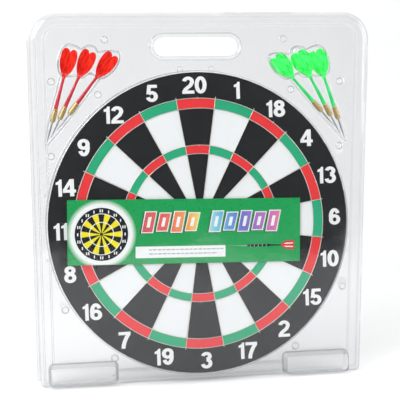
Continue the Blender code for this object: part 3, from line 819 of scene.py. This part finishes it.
def label(mats):
    """The label: green card with a small printed board, a rainbow pattern, a note strip and a dart."""
    board_x, board_z, board_r = -0.1050, -0.0024, 0.0330
    art_x, art_width = 0.0330, 0.1760
    green = label_green((board_x, board_z), board_r)
    names = ("label_black", "label_yellow", "label_white", "label_grey", "label_red", "label_shadow")
    inks = [green, rainbow(art_width, art_x)] + [mats[k] for k in names]
    rainbow_ink, black, yellow, white, grey, red, shadow = range(1, 8)
    w, h, corner = LABEL_WIDTH / 2, LABEL_HEIGHT / 2, 0.0012
    card = []
    for cx, cz, start in ((w, -h, -90), (w, h, 0), (-w, h, 90), (-w, -h, 180)):
        inward_x, inward_z = math.copysign(corner, cx), math.copysign(corner, cz)
        card += arc(cx - inward_x, cz - inward_z, corner, corner, start, start + 90, 4)
    parts = Parts()
    points, faces = merged([card])
    card_rear = LABEL_REAR - LABEL_FRONT
    parts.add(*slab(points, faces, card_rear / 2, 0.0), 0)
    parts.add(*slab(points, faces, card_rear, card_rear / 2), grey)
    mini_board(parts, board_x, board_z, board_r, black, yellow, white)
    block_art(parts, art_x, 0.0118, art_width, shadow, white, rainbow_ink)
    printed_plate(parts, [box_outline(-0.0630, -0.0330, 0.0505, -0.0185)], 0, white)
    for row, (start, end) in enumerate(((-0.0460, 0.0480), (-0.0460, 0.0400))):
        z = -0.0228 - 0.0052 * row
        x, k = start, 0
        while x < end:
            length = 0.0030 + 0.0022 * abs(math.sin(2.1 * k + row))
            printed_plate(parts, [box_outline(x, z - 0.0007, min(x + length, end), z + 0.0007)], 1, grey)
            x += length + 0.0014
            k += 1
    mini_dart(parts, 0.0975, -0.0195, 0.0860, black, red, white, grey)
    made = parts.make("printed_label", inks, 30)
    turned = Matrix.Rotation(-LABEL_TURN, 4, "Y")
    made.matrix_world = Matrix.Translation((LABEL_X, LABEL_FRONT, LABEL_Z)) @ turned
    settle(made, FRONT_BODY, "card", "label_card")


def mini_board(parts, x, z, radius, black, yellow, white):
    """The small printed board: dark rim with dashes, yellow and black fields, and white rings."""
    printed_plate(parts, [circle(x, z, radius, 64)], 0, black)
    inner, middle = radius * 0.775, radius * 0.455
    half = math.pi / SECTORS
    for low, high in ((middle, inner), (radius * 0.06, middle)):
        for k in range(1, SECTORS, 2):
            mid = math.pi / 2 - 2 * half * k
            outer_arc = arc(x, z, high, high, math.degrees(mid - half), math.degrees(mid + half), 5)
            inner_arc = arc(x, z, low, low, math.degrees(mid + half), math.degrees(mid - half), 5)
            printed_plate(parts, [outer_arc + inner_arc], 1, yellow)
    for ring in (inner, middle):
        printed_plate(parts, loop_strokes(x, z, ring, ring, radius * 0.028), 2, white)
    for k in range(SECTORS):
        angle = math.pi / 2 - 2 * half * k
        cx, cz = x + radius * 0.885 * math.cos(angle), z + radius * 0.885 * math.sin(angle)
        size = radius * 0.036
        for shift in (-1.1, 1.1) if k % 2 == 0 else (0.0,):
            dash_x = cx + shift * size
            dash = box_outline(dash_x - size * 0.6, cz - size * 1.5, dash_x + size * 0.6, cz + size * 1.5)
            printed_plate(parts, [dash], 1, white)


def block_art(parts, x, z, width, shadow, white, ink):
    """Two groups of slanted bars, each bar with a pale edge and a dark shadow, in place of words."""
    bar, height, lean = 0.0128, 0.0250, 0.0052
    groups = (4, 5)
    space = 0.0120
    layers = ((0.0012, 0.0014, shadow), (0.0012, 0.0, white), (0.0, 0.0, ink))
    step = (width - space) / sum(groups)
    left = x - width / 2
    for count in groups:
        for k in range(count):
            cx = left + (k + 0.5) * step
            tall = height * (1.0 if k % 2 == 0 else 0.86)
            for layer, (grow, shift, index) in enumerate(layers):
                half, rise = bar / 2 + grow, tall / 2 + grow
                low, high = z - rise - shift * 0.6, z + rise - shift * 0.6
                bar_x = cx - shift
                outline = [
                    (bar_x - half - lean / 2, low), (bar_x + half - lean / 2, low),
                    (bar_x + half + lean / 2, high), (bar_x - half + lean / 2, high),
                ]
                printed_plate(parts, [outline], layer, index)
            slit = bar * 0.16
            notch = [
                (cx - slit - lean * 0.25, z - tall * 0.26), (cx + slit - lean * 0.25, z - tall * 0.26),
                (cx + slit + lean * 0.25, z + tall * 0.26), (cx - slit + lean * 0.25, z + tall * 0.26),
            ]
            printed_plate(parts, [notch], 3, white)
        left += count * step + space


def mini_dart(parts, x, z, length, black, red, white, grey):
    """A small printed dart, point to the left."""
    left, right = x - length / 2, x + length / 2
    thin = 0.0005
    point_end = left + length * 0.30
    printed_plate(parts, [[(left, z), (point_end, z - thin), (point_end, z + thin)]], 0, grey)
    body = box_outline(left + length * 0.28, z - 0.0015, left + length * 0.62, z + 0.0015)
    printed_plate(parts, [body], 0, black)
    for k in range(5):
        band_x = left + length * (0.32 + 0.06 * k)
        printed_plate(parts, [box_outline(band_x, z - 0.0015, band_x + 0.0008, z + 0.0015)], 1, grey)
    shaft = box_outline(left + length * 0.62, z - 0.0008, left + length * 0.82, z + 0.0008)
    printed_plate(parts, [shaft], 0, black)
    flight = [
        (right - length * 0.22, z), (right - length * 0.15, z + 0.0052), (right - length * 0.02, z + 0.0058),
        (right, z + 0.0030), (right - length * 0.025, z), (right, z - 0.0030),
        (right - length * 0.02, z - 0.0058), (right - length * 0.15, z - 0.0052),
    ]
    printed_plate(parts, [flight], 1, red)
    for side in (-1, 1):
        stripe = [(right - length * 0.17, z + side * 0.0012), (right - length * 0.03, z + side * 0.0016),
                  (right - length * 0.03, z + side * 0.0030), (right - length * 0.14, z + side * 0.0028)]
        printed_plate(parts, [stripe if side == 1 else stripe[::-1]], 2, white)


# ---------------------------------------------------------------- darts


def smooth_width(shares, at):
    """A soft curve through (share, width) pairs."""
    xs, ys = zip(*shares)
    for i in range(len(xs) - 1):
        if at <= xs[i + 1]:
            break
    span = xs[i + 1] - xs[i]
    t = min(max((at - xs[i]) / span, 0.0), 1.0)
    slopes = []
    for k in (i, i + 1):
        a, b = max(k - 1, 0), min(k + 1, len(xs) - 1)
        slopes.append((ys[b] - ys[a]) / (xs[b] - xs[a]))
    h00, h10 = 2 * t**3 - 3 * t**2 + 1, t**3 - 2 * t**2 + t
    h01, h11 = -2 * t**3 + 3 * t**2, t**3 - t**2
    return h00 * ys[i] + h10 * span * slopes[0] + h01 * ys[i + 1] + h11 * span * slopes[1]


def fin(parts, turn, curl):
    """One fin of a flight: a cupped leaf with a thick root and a thin lobed edge."""
    long_steps, wide_steps = 26, 8
    start = STEM_LENGTH - 0.0010
    rows = []
    for u_step in range(long_steps + 1):
        u = u_step / long_steps
        reach = FLIGHT_SPAN * smooth_width(FIN_SHAPE, u)
        row = []
        for v_step in range(wide_steps + 1):
            v = v_step / wide_steps
            tail = 0.88 + 0.12 * math.sin(math.pi / 2 * min(v / 0.62, 1.0)) ** 0.8
            height = start + (FLIGHT_LENGTH + 0.0012) * u * tail
            cup = curl * math.sin(math.pi * min(u * 1.1, 1.0)) * v * v
            thick = 0.00042 - 0.00024 * v
            row.append((reach * v, cup, thick, height))
        rows.append(row)
    spin = Matrix.Rotation(turn, 4, "Z")
    verts = []
    for side in (1, -1):
        for row in rows:
            verts += [spin @ Vector((r, cup + side * thick, z)) for r, cup, thick, z in row]
    parts.add(verts, sheet_faces(len(rows), wide_steps + 1))


def flight(name, mat):
    parts = Parts()
    for k in range(4):
        fin(parts, math.radians(45 + 90 * k), 0.0011 if k % 2 == 0 else -0.0009)
    core = [(0, STEM_LENGTH - 0.0055), (0.0009, STEM_LENGTH - 0.0053), (0.0009, STEM_LENGTH + 0.0100)]
    core += [(0.0005, STEM_LENGTH + 0.0300), (0, STEM_LENGTH + 0.0325)]
    parts.add(*lathed(core, 10))
    return parts.make(name, [mat], 60)


def needle_profile():
    tip = -BARREL_LENGTH - NEEDLE_LENGTH
    seat = -BARREL_LENGTH + BORE_DEPTH
    cone = [(NEEDLE_R * (share ** 0.75), tip + 0.0135 * share) for share in (0.04, 0.15, 0.3, 0.5, 0.75, 1.0)]
    return [(0, tip)] + cone + [(NEEDLE_R, -BARREL_LENGTH - 0.0004), (NEEDLE_R, seat), (0, seat)]


def barrel_profile():
    """A grooved grip with a turned nose and a plain collar, open at both ends for needle and stem."""
    front = -BARREL_LENGTH
    needle_seat, stem_seat = front + BORE_DEPTH + GAP, -BORE_DEPTH - GAP
    needle_bore, stem_bore = NEEDLE_R + 0.0001, STEM_R * 0.7 + 0.0001
    profile = [(0, needle_seat), (needle_bore, needle_seat), (needle_bore, front + 0.0003)]
    profile += [(needle_bore + 0.0003, front), (BARREL_R * 0.58, front), (BARREL_R * 0.66, front + 0.0004)]
    profile += [(BARREL_R * 0.94, front + 0.0026), (BARREL_R, front + 0.0032)]
    grooves, pitch = 7, 0.00135
    for k in range(grooves):
        start = front + 0.0038 + pitch * k
        profile += [(BARREL_R, start), (BARREL_R * 0.89, start + 0.00022)]
        profile += [(BARREL_R * 0.89, start + 0.00055), (BARREL_R, start + 0.00077)]
    profile += [(BARREL_R, -0.0034), (BARREL_R * 0.84, -0.0029), (BARREL_R * 0.84, -0.0013)]
    profile += [(BARREL_R * 0.92, -0.0010), (BARREL_R * 0.92, -0.0003), (BARREL_R * 0.84, 0)]
    return profile + [(stem_bore, 0), (stem_bore, stem_seat), (0, stem_seat)]


def stem_profile():
    spigot = STEM_R * 0.7
    profile = [(0, -BORE_DEPTH), (spigot * 0.85, -BORE_DEPTH)]
    profile += [(spigot, -BORE_DEPTH + 0.0005), (spigot, GAP / 2)]
    profile += [(STEM_R * 1.16, GAP / 2), (STEM_R * 1.22, GAP + 0.0002), (STEM_R * 1.22, 0.0014)]
    profile += [(STEM_R * 1.06, 0.0018), (STEM_R * 1.06, 0.0026), (STEM_R * 1.16, 0.0030)]
    for share in (0.12, 0.3, 0.5, 0.7, 0.85):
        profile.append((STEM_R * (1.14 - 0.42 * share), 0.0030 + (STEM_LENGTH - 0.0060) * share))
    profile += [(STEM_R * 0.80, STEM_LENGTH - 0.0050), (STEM_R * 0.86, STEM_LENGTH - 0.0020)]
    end = STEM_LENGTH + 0.0002
    return profile + [(STEM_R * 0.80, STEM_LENGTH), (STEM_R * 0.45, end), (0, end)]


def dart(name, mats):
    x, z, lean = DARTS[name]
    colour = name.split("_")[0]
    leant = Matrix.Rotation(math.radians(lean), 4, "Y")
    place = Matrix.Translation((BOARD_X + x, DART_Y, BOARD_Z + z)) @ leant
    turned = (
        ("needle", needle_profile(), 20, mats["steel"], "needle_steel"),
        ("barrel", barrel_profile(), 32, mats["brass"], "brass"),
        ("stem", stem_profile(), 20, mats[f"{colour}_stem"], f"{colour}_stem"),
    )
    for kind, profile, steps, mat, slot in turned:
        made = piece(f"dart_{kind}_{name}", *lathed(profile, steps), [mat], sharp=35)
        made.matrix_world = place
        settle(made, REAR_BODY, slot, f"{kind}_{name}")
    made = flight(f"dart_flight_{name}", mats[f"{colour}_fin"])
    made.matrix_world = place
    settle(made, REAR_BODY, f"{colour}_flight", f"flight_{name}")


# ---------------------------------------------------------------- pack: outlines


def corner_sides(corners, i):
    """A corner's place, and the directions of the sides before and after it."""
    here = Vector(corners[i][:2])
    before = (here - Vector(corners[i - 1][:2])).normalized()
    after = (Vector(corners[(i + 1) % len(corners)][:2]) - here).normalized()
    return here, before, after


def inset_corners(corners, distance):
    """Convex corners (x, z, radius) with every side moved inwards by the distance."""
    moved = []
    for i, (_, _, radius) in enumerate(corners):
        here, before, after = corner_sides(corners, i)
        normal_before = Vector((-before.y, before.x))
        normal_after = Vector((-after.y, after.x))
        shift = (normal_before + normal_after) / (1 + normal_before.dot(normal_after))
        place = here + shift * distance
        moved.append((place.x, place.y, max(radius - distance, 0.0005)))
    return moved


def rounded(corners, steps=8):
    """Outline through convex corners (x, z, radius), anticlockwise, each rounded by an arc."""
    outline = []
    for i, (_, _, radius) in enumerate(corners):
        here, before, after = corner_sides(corners, i)
        turn = before.angle(after)
        start = here - before * radius * math.tan(turn / 2)
        centre = start + Vector((-before.y, before.x)) * radius
        first = math.atan2(start.y - centre.y, start.x - centre.x)
        for step in range(steps + 1):
            angle = first + turn * step / steps
            outline.append((centre.x + radius * math.cos(angle), centre.y + radius * math.sin(angle)))
    return outline


def pack_corners():
    return [
        (PACK_LEFT, 0.0, FOOT_CORNER_R),
        (PACK_RIGHT_FOOT, 0.0, FOOT_CORNER_R),
        (PACK_RIGHT_TOP, PACK_TOP, TOP_CORNER_R),
        (PACK_LEFT, PACK_TOP, TOP_CORNER_R),
    ]


def resampled(outline, spacing):
    """The closed outline with points no further apart than the spacing."""
    points = []
    for a, b in zip(outline, outline[1:] + outline[:1]):
        length = math.dist(a, b)
        if length < 1e-7:
            continue
        steps = max(1, math.ceil(length / spacing))
        points += [(a[0] + (b[0] - a[0]) * k / steps, a[1] + (b[1] - a[1]) * k / steps) for k in range(steps)]
    return points


def box_corners(x0, z0, x1, z1, radius):
    return [(x0, z0, radius), (x1, z0, radius), (x1, z1, radius), (x0, z1, radius)]


def slot_outline(margin):
    half, height = SLOT_LENGTH / 2 + margin, SLOT_HEIGHT / 2 + margin
    corners = box_corners(SLOT_X - half, SLOT_Z - height, SLOT_X + half, SLOT_Z + height, height * 0.98)
    return resampled(rounded(corners, 12), 0.006)


def along(name, distance):
    x, z, lean = DARTS[name]
    lean = math.radians(lean)
    return BOARD_X + x + distance * math.sin(lean), BOARD_Z + z + distance * math.cos(lean)


def lobed_outline(discs, steps, soften):
    """The outline of a group of discs (x, z, radius), seen from their middle and softened."""
    cx = sum(d[0] for d in discs) / len(discs)
    cz = sum(d[1] for d in discs) / len(discs)
    reach = []
    for k in range(steps):
        angle = 2 * math.pi * k / steps
        ux, uz = math.cos(angle), math.sin(angle)
        furthest = 0.0
        for x, z, radius in discs:
            forward = (x - cx) * ux + (z - cz) * uz
            off = (x - cx) ** 2 + (z - cz) ** 2 - forward**2
            if off < radius**2:
                furthest = max(furthest, forward + math.sqrt(radius**2 - off))
        reach.append(furthest)
    out = []
    for k in range(steps):
        near = [reach[(k + d) % steps] for d in range(-soften, soften + 1)]
        mean = sum(near) / len(near)
        angle = 2 * math.pi * k / steps
        out.append((cx + mean * math.cos(angle), cz + mean * math.sin(angle)))
    return out


def flight_discs(colour):
    discs = []
    for name in (n for n in DARTS if n.startswith(colour)):
        for step in range(13):
            share = 0.22 + 0.78 * step / 12
            x, z = along(name, STEM_LENGTH + FLIGHT_LENGTH * share)
            half_width = FLIGHT_SPAN * smooth_width(FIN_SHAPE, share) * math.sqrt(0.5)
            discs.append((x, z, half_width + FLIGHT_POCKET_MARGIN))
    return discs


def stem_discs(colour):
    discs = []
    tip = -BARREL_LENGTH - NEEDLE_LENGTH
    for name in (n for n in DARTS if n.startswith(colour)):
        for step in range(13):
            share = step / 12
            x, z = along(name, tip + (STEM_LENGTH - tip) * share)
            discs.append((x, z, NEEDLE_POCKET_R + BARREL_POCKET_EXTRA * min(share * 3, 1.0)))
    return discs


# ---------------------------------------------------------------- pack: formed sheets


def wall(height, draft, foot, brow, steps=3):
    """How a formed wall rises, as (distance inside the outline, height): a fillet, a slope, a fillet."""
    turns = [math.pi / 2 * k / steps for k in range(steps + 1)]
    profile = [(-foot + foot * math.sin(a), foot - foot * math.cos(a)) for a in turns]
    profile += [(draft + brow * (1 - math.cos(a)), height - brow + brow * math.sin(a)) for a in turns]
    return profile


class Form:
    """A raised form of a sheet: its outline and how its wall rises inside that."""

    def __init__(self, outline, profile, inner=None):
        self.outline, self.profile, self.inner = outline, profile, inner

    def loops(self):
        """The outline moved in to each step of the profile. An inner outline moves out instead."""
        made = [shifted(self.outline, s) for s, _ in self.profile]
        if self.inner:
            made += [shifted(self.inner, -s) for s, _ in self.profile]
        return made

    def height(self, points):
        inside = signed_distance(points, self.outline)
        if self.inner:
            inside = np.minimum(inside, -signed_distance(points, self.inner))
        distances, heights = zip(*self.profile)
        return np.interp(inside, distances, heights)


def shifted(outline, distance):
    """A smooth closed outline moved inwards by the distance."""
    points = np.array(outline)
    before, after = np.roll(points, 1, 0), np.roll(points, -1, 0)
    a = points - before
    b = after - points
    a /= np.linalg.norm(a, axis=1)[:, None]
    b /= np.linalg.norm(b, axis=1)[:, None]
    na = np.stack([-a[:, 1], a[:, 0]], 1)
    nb = np.stack([-b[:, 1], b[:, 0]], 1)
    bisector = (na + nb) / (1 + (na * nb).sum(1))[:, None]
    return (points + bisector * distance).tolist()


def signed_distance(points, outline):
    """Distance from each point to a closed outline, positive inside."""
    ring = np.array(outline)
    ends = np.roll(ring, -1, 0)
    best = np.full(len(points), np.inf)
    inside = np.zeros(len(points), bool)
    for (ax, az), (bx, bz) in zip(ring, ends):
        dx, dz = bx - ax, bz - az
        t = ((points[:, 0] - ax) * dx + (points[:, 1] - az) * dz) / max(dx * dx + dz * dz, 1e-18)
        t = np.clip(t, 0, 1)
        away = np.hypot(points[:, 0] - ax - t * dx, points[:, 1] - az - t * dz)
        best = np.minimum(best, away)
        crosses = (az > points[:, 1]) != (bz > points[:, 1])
        if crosses.any():
            edge_x = ax + (points[:, 1] - az) * dx / (dz if dz else 1e-18)
            inside ^= crosses & (points[:, 0] < edge_x)
    return np.where(inside, best, -best)


def joined_height(forms, points):
    """The sheet's height over its flange, with a small fillet where two forms meet."""
    blend = 0.0014
    total = np.zeros(len(points))
    for form in forms:
        other = form.height(points)
        soft = np.minimum(blend, 2 * np.minimum(total, other)) + 1e-9
        share = np.clip(0.5 + 0.5 * (total - other) / soft, 0, 1)
        total = other + (total - other) * share + soft * share * (1 - share)
    return total


def fill_points(outline, loops, spacing):
    """Points of a staggered lattice inside the outline that keep clear of the loops."""
    taken = np.array([p for loop in loops for p in loop])
    xs = np.arange(PACK_LEFT, PACK_RIGHT_TOP, spacing)
    zs = np.arange(0, PACK_TOP, spacing * 0.866)
    lattice = np.array([(x + (row % 2) * spacing / 2, z) for row, z in enumerate(zs) for x in xs])
    lattice = lattice[signed_distance(lattice, outline) > spacing * 0.5]
    kept = []
    for p in lattice:
        if np.min(np.abs(taken - p).max(1)) > spacing * 0.42:
            kept.append(p)
    return kept


def formed_sheet(name, forms, dents, flange, way, ripple):
    """A sheet drawn over its forms. way is -1 where the forms stand out to the front."""
    outline = resampled(rounded(pack_corners(), 14), 0.008)
    hole = slot_outline(0)
    border = [outline, hole]
    inner_loops = [loop for form in forms + dents for loop in form.loops()]
    loops = border + inner_loops
    coords, edges = [], []
    for loop in loops:
        start = len(coords)
        coords += [Vector(p) for p in loop]
        edges += [(start + i, start + (i + 1) % len(loop)) for i in range(len(loop))]
    coords += [Vector(p) for p in fill_points(outline, loops, 0.009)]
    verts, _, faces, _, _, _ = delaunay_2d_cdt(coords, edges, [], 0, 2e-6)
    flat = np.array([(v.x, v.y) for v in verts])
    middles = np.array([flat[list(face)].mean(0) for face in faces])
    keep = (signed_distance(middles, outline) > 0) & (signed_distance(middles, hole) < 0)
    height = flange + joined_height(forms, flat)
    if dents:
        height -= joined_height(dents, flat)
    sway = np.sin(flat[:, 0] * 31 + 1.3) * np.sin(flat[:, 1] * 23 + 0.4)
    sway = sway + 0.5 * np.sin(flat[:, 0] * 67 + flat[:, 1] * 51)
    rim = np.clip(signed_distance(flat, outline) / 0.010, 0, 1)
    height -= ripple * rim * (1 + sway / 1.5) / 2
    solid = [(x, PARTING_Y + way * h, z) for (x, z), h in zip(flat, height)]
    mesh = bpy.data.meshes.new(name)
    mesh.from_pydata(solid, [], [face for face, ok in zip(faces, keep) if ok])
    bm = bmesh.new()
    bm.from_mesh(mesh)
    bmesh.ops.delete(bm, geom=[v for v in bm.verts if not v.link_faces], context="VERTS")
    bmesh.ops.recalc_face_normals(bm, faces=bm.faces[:])
    outward = sum(face.normal.y * face.calc_area() for face in bm.faces)
    if outward * way < 0:
        bmesh.ops.reverse_faces(bm, faces=bm.faces[:])
    bm.to_mesh(mesh)
    bm.free()
    made = linked(name, mesh)
    thick = made.modifiers.new("thickness", "SOLIDIFY")
    thick.thickness = SHEET_THICK
    thick.offset = -1.0
    mesh.shade_smooth()
    mesh.set_sharp_from_angle(angle=math.radians(50))
    return made


def shared_forms(side):
    """The forms that both halves have, each to its own height."""
    flange = FLANGE_FRONT if side == "front" else FLANGE_REAR
    outer = resampled(rounded(inset_corners(pack_corners(), BEAD_INSETS[0]), 12), 0.008)
    inner = resampled(rounded(inset_corners(pack_corners(), BEAD_INSETS[1]), 10), 0.008)
    forms = [Form(outer, wall(BEAD_HEIGHT[side] - flange, 0.0016, 0.0012, 0.0016), inner)]
    for x in FOOT_CENTRES:
        half = FOOT_LENGTH / 2
        corners = box_corners(x - half, 0.0, x + half, FOOT_TOP, 0.0065)
        outline = resampled(rounded(corners, 8), 0.007)
        forms.append(Form(outline, wall(FOOT_HEIGHT[side] - flange, 0.0030, 0.0004, 0.0022)))
    for colour in ("red", "green"):
        lobes = lobed_outline(flight_discs(colour), 110, 3)
        forms.append(Form(lobes, wall(FLIGHT_POCKET[side] - flange, 0.0014, 0.0012, 0.0020)))
        fan = convex([p for disc in stem_discs(colour) for p in circle(*disc, 16)])
        fan = resampled(fan, 0.006)
        forms.append(Form(fan, wall(STEM_POCKET[side] - flange, 0.0014, 0.0012, 0.0014)))
    return forms


def foot_ribs():
    """Two low ridges along the front of each foot."""
    ribs = []
    for x in FOOT_CENTRES:
        for z in (0.0100, 0.0190):
            half = FOOT_LENGTH / 2 - 0.0110
            corners = box_corners(x - half, z - 0.0016, x + half, z + 0.0016, 0.0015)
            ribs.append(Form(resampled(rounded(corners, 5), 0.008), wall(0.0010, 0.0004, 0.0003, 0.0005, 2)))
    return ribs


def front_sheet(mats):
    forms = shared_forms("front")
    bubble = resampled(circle(BOARD_X, BOARD_Z, BUBBLE_R, 180), 0.02)
    forms.append(Form(bubble, wall(BUBBLE_HEIGHT - FLANGE_FRONT, BUBBLE_DRAFT, 0.0016, 0.0022, 4)))
    crest = SLOT_RIM_HEIGHT - FLANGE_FRONT
    rim = wall(crest, 0.0012, 0.0010, 0.0012)
    rim += [(SLOT_RIM - 0.0016, crest), (SLOT_RIM - 0.0008, crest - 0.0006)]
    rim.append((SLOT_RIM - 0.0001, crest - 0.0022))
    forms.append(Form(slot_outline(SLOT_RIM), rim))
    forms += foot_ribs()
    for x, z in STUDS:
        stud = circle(BOARD_X + x, BOARD_Z + z, STUD_R, 24)
        profile = wall(STUD_HEIGHT, 0.0009, 0.0006, 0.0007, 2)
        profile += [(0.0026, STUD_HEIGHT), (0.0032, STUD_HEIGHT - 0.0007), (0.0042, STUD_HEIGHT - 0.0010)]
        forms.append(Form(stud, profile))
    for x, z in NUBS:
        nub = circle(BOARD_X + x, BOARD_Z + z, 0.0042, 20)
        forms.append(Form(nub, wall(0.0060, 0.0008, 0.0006, 0.0014, 3)))
    made = formed_sheet("cover_sheet", forms, [], FLANGE_FRONT, -1, 0.00010)
    made.data.materials.append(mats["clear"])
    settle(made, FRONT_BODY, "clear_pvc", "front_shell")


def rear_sheet(mats):
    forms = shared_forms("rear")
    dents = []
    for x, z in STUDS:
        peg = circle(BOARD_X + x, BOARD_Z + z, STUD_R - 0.0009, 20)
        dents.append(Form(peg, wall(STUD_HEIGHT, 0.0009, 0.0005, 0.0006, 2)))
    made = formed_sheet("tray_sheet", forms, dents, FLANGE_REAR, 1, 0.00010)
    made.data.materials.append(mats["clear"])
    settle(made, REAR_BODY, "clear_pvc", "back_shell")


def fold_sheet(mats):
    """The fold that joins the halves: a rolled strip from one flange round to the other."""
    thick = 0.00045
    radius = FOLD_R - thick / 2
    plane = 0.00045
    flange_x = PACK_LEFT - 0.0001 - FOLD_X
    profile = []
    for side in (1, -1):
        leg = [(flange_x, plane), (flange_x - 0.0004, plane + 0.0003), (0.0010, 0.0013)]
        turns = [math.radians(62 + 118 * k / 7) for k in range(8)]
        leg += [(radius * math.cos(a), radius * math.sin(a)) for a in turns]
        leg = [(x, side * y) for x, y in leg]
        profile += leg if side == 1 else leg[-2::-1]
    rows = 48
    length = FOLD_TOP - FOLD_LOW
    verts, count = [], len(profile)
    for layer in (1, -1):
        for row in range(rows + 1):
            z = FOLD_LOW + length * row / rows
            end = min(row, rows - row) / rows
            squeeze = 1 - 0.30 * math.exp(-((end / 0.012) ** 2))
            dent = 1 - 0.05 * (1 + math.sin(row * 0.9)) * math.sin(math.pi * row / rows)
            for i, (x, y) in enumerate(profile):
                before, after = profile[max(i - 1, 0)], profile[min(i + 1, count - 1)]
                flow = Vector((after[0] - before[0], after[1] - before[1])).normalized()
                nx, ny = -flow.y * layer * thick / 2, flow.x * layer * thick / 2
                scale = squeeze * dent if 2 < i < count - 3 else 1.0
                verts.append((FOLD_X + x * scale + nx, FOLD_Y + y * scale + ny, z))
    made = piece("fold_sheet", verts, sheet_faces(rows + 1, count), [mats["clear"]], sharp=50)
    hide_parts("hinge_strip")
    edge = FOLD_R * 0.85
    start, end = (FOLD_X, FOLD_Y + edge, 0.2), (FOLD_X, FOLD_Y - edge, 0.2)
    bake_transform(made)


# ---------------------------------------------------------------- kept nodes, stage, light


def dress_nodes(mats):
    """Better materials for the nodes whose shape is kept."""
    dressed = {
        "board_core": "core", "back_sheet": "backing", "edge_band": "band",
        "hanger_plate": "plated", "hanger_pin_left": "plated", "hanger_pin_right": "plated",
    }
    for name, key in dressed.items():
        for slot in frame["nodes"][name].material_slots:
            slot.material = mats[key]


def stage():
    """A pale floor that sweeps up into a pale backdrop, and is clear when it is seen from behind."""
    n = Nodes("studio_sweep")
    soft = n.noise(3, 3.0, 0.5)
    tone = n.mix(soft, (0.91, 0.91, 0.91), (0.94, 0.94, 0.94))
    n.set(Base_Color=tone, Roughness=n.between(soft, 0.7, 0.9))
    # the faces' normals point away from the object, so their back is the side it stands on
    object_side = n.add("ShaderNodeNewGeometry").outputs["Backfacing"]
    n.show_mixed(object_side, n.add("ShaderNodeBsdfTransparent").outputs[0])
    wide, near, far, high, bend = 3.0, -1.45, 1.30, 2.6, 0.45
    profile = [(near, 0.0), (-0.5, 0.0), (0.3, 0.0), (far - bend, 0.0)]
    for k in range(1, 13):
        angle = math.pi / 2 * k / 12
        profile.append((far - bend + bend * math.sin(angle), bend - bend * math.cos(angle)))
    profile.append((far, high))
    verts = [(side * wide / 2, y, z - 0.0004) for y, z in profile for side in (-1, -0.33, 0.33, 1)]
    sweep = piece("studio_sweep", verts, grid_faces(len(profile), 4, False), [n.material], sharp=180)


def area_light(name, place, aim, size, power):
    data = bpy.data.lights.new(name, "AREA")
    data.shape = "RECTANGLE"
    data.size, data.size_y = size
    data.energy = power
    made = linked(name, data)
    made.location = place
    made.rotation_euler = (Vector(aim) - Vector(place)).to_track_quat("-Z", "Y").to_euler()


def lights():
    aim = (0.0, 0.0, 0.22)
    area_light("key", (-1.25, -1.15, 1.15), aim, (0.9, 0.9), 24)
    area_light("fill", (1.30, -1.05, 0.75), aim, (0.8, 0.9), 10)
    area_light("top", (0.0, -0.25, 1.60), aim, (1.4, 0.7), 5)
    area_light("backdrop_left", (-1.1, 0.35, 0.9), (-0.2, 1.2, 0.5), (0.5, 0.9), 1)
    area_light("backdrop_right", (1.1, 0.35, 0.9), (0.2, 1.2, 0.5), (0.5, 0.9), 1)
    world = bpy.data.worlds.new("studio")
    world.use_nodes = True
    room(world.node_tree)
    bpy.context.scene.world = world
    bpy.context.scene.view_settings.view_transform = "Standard"


def room(tree):
    """A bright room all round, with a dim opening in front of the pack that its sheet mirrors."""
    way = tree.nodes.new("ShaderNodeTexCoord").outputs["Generated"]
    facing = tree.nodes.new("ShaderNodeVectorMath")
    facing.operation = "DOT_PRODUCT"
    tree.links.new(way, facing.inputs[0])
    facing.inputs[1].default_value = Vector((0.14, -0.97, 0.16)).normalized()
    fade = tree.nodes.new("ShaderNodeMapRange")
    tree.links.new(facing.outputs["Value"], fade.inputs["Value"])
    for key, value in (("From Min", 0.72), ("From Max", 0.93), ("To Min", ROOM_LIGHT), ("To Max", ROOM_DIM)):
        fade.inputs[key].default_value = value
    background = tree.nodes["Background"]
    background.inputs["Color"].default_value = (0.98, 0.99, 1.0, 1.0)
    tree.links.new(fade.outputs[0], background.inputs["Strength"])


def camera():
    data = bpy.data.cameras.new("camera")
    data.lens = CAMERA_LENS_MM
    data.sensor_width = SENSOR_MM
    made = linked("camera", data)
    made.location = CAMERA_PLACE
    look = (CAMERA_AIM - CAMERA_PLACE).to_track_quat("-Z", "Y")
    made.rotation_euler = (look @ Quaternion((0, 0, 1), CAMERA_ROLL)).to_euler()
    bpy.context.scene.camera = made


def main():
    camera()
    stage()
    lights()
    mats = make_materials()
    printed_face(mats)
    numerals(mats)
    spider(mats)
    label(mats)
    for name in DARTS:
        dart(name, mats)
    front_sheet(mats)
    rear_sheet(mats)
    fold_sheet(mats)
    dress_nodes(mats)


main()
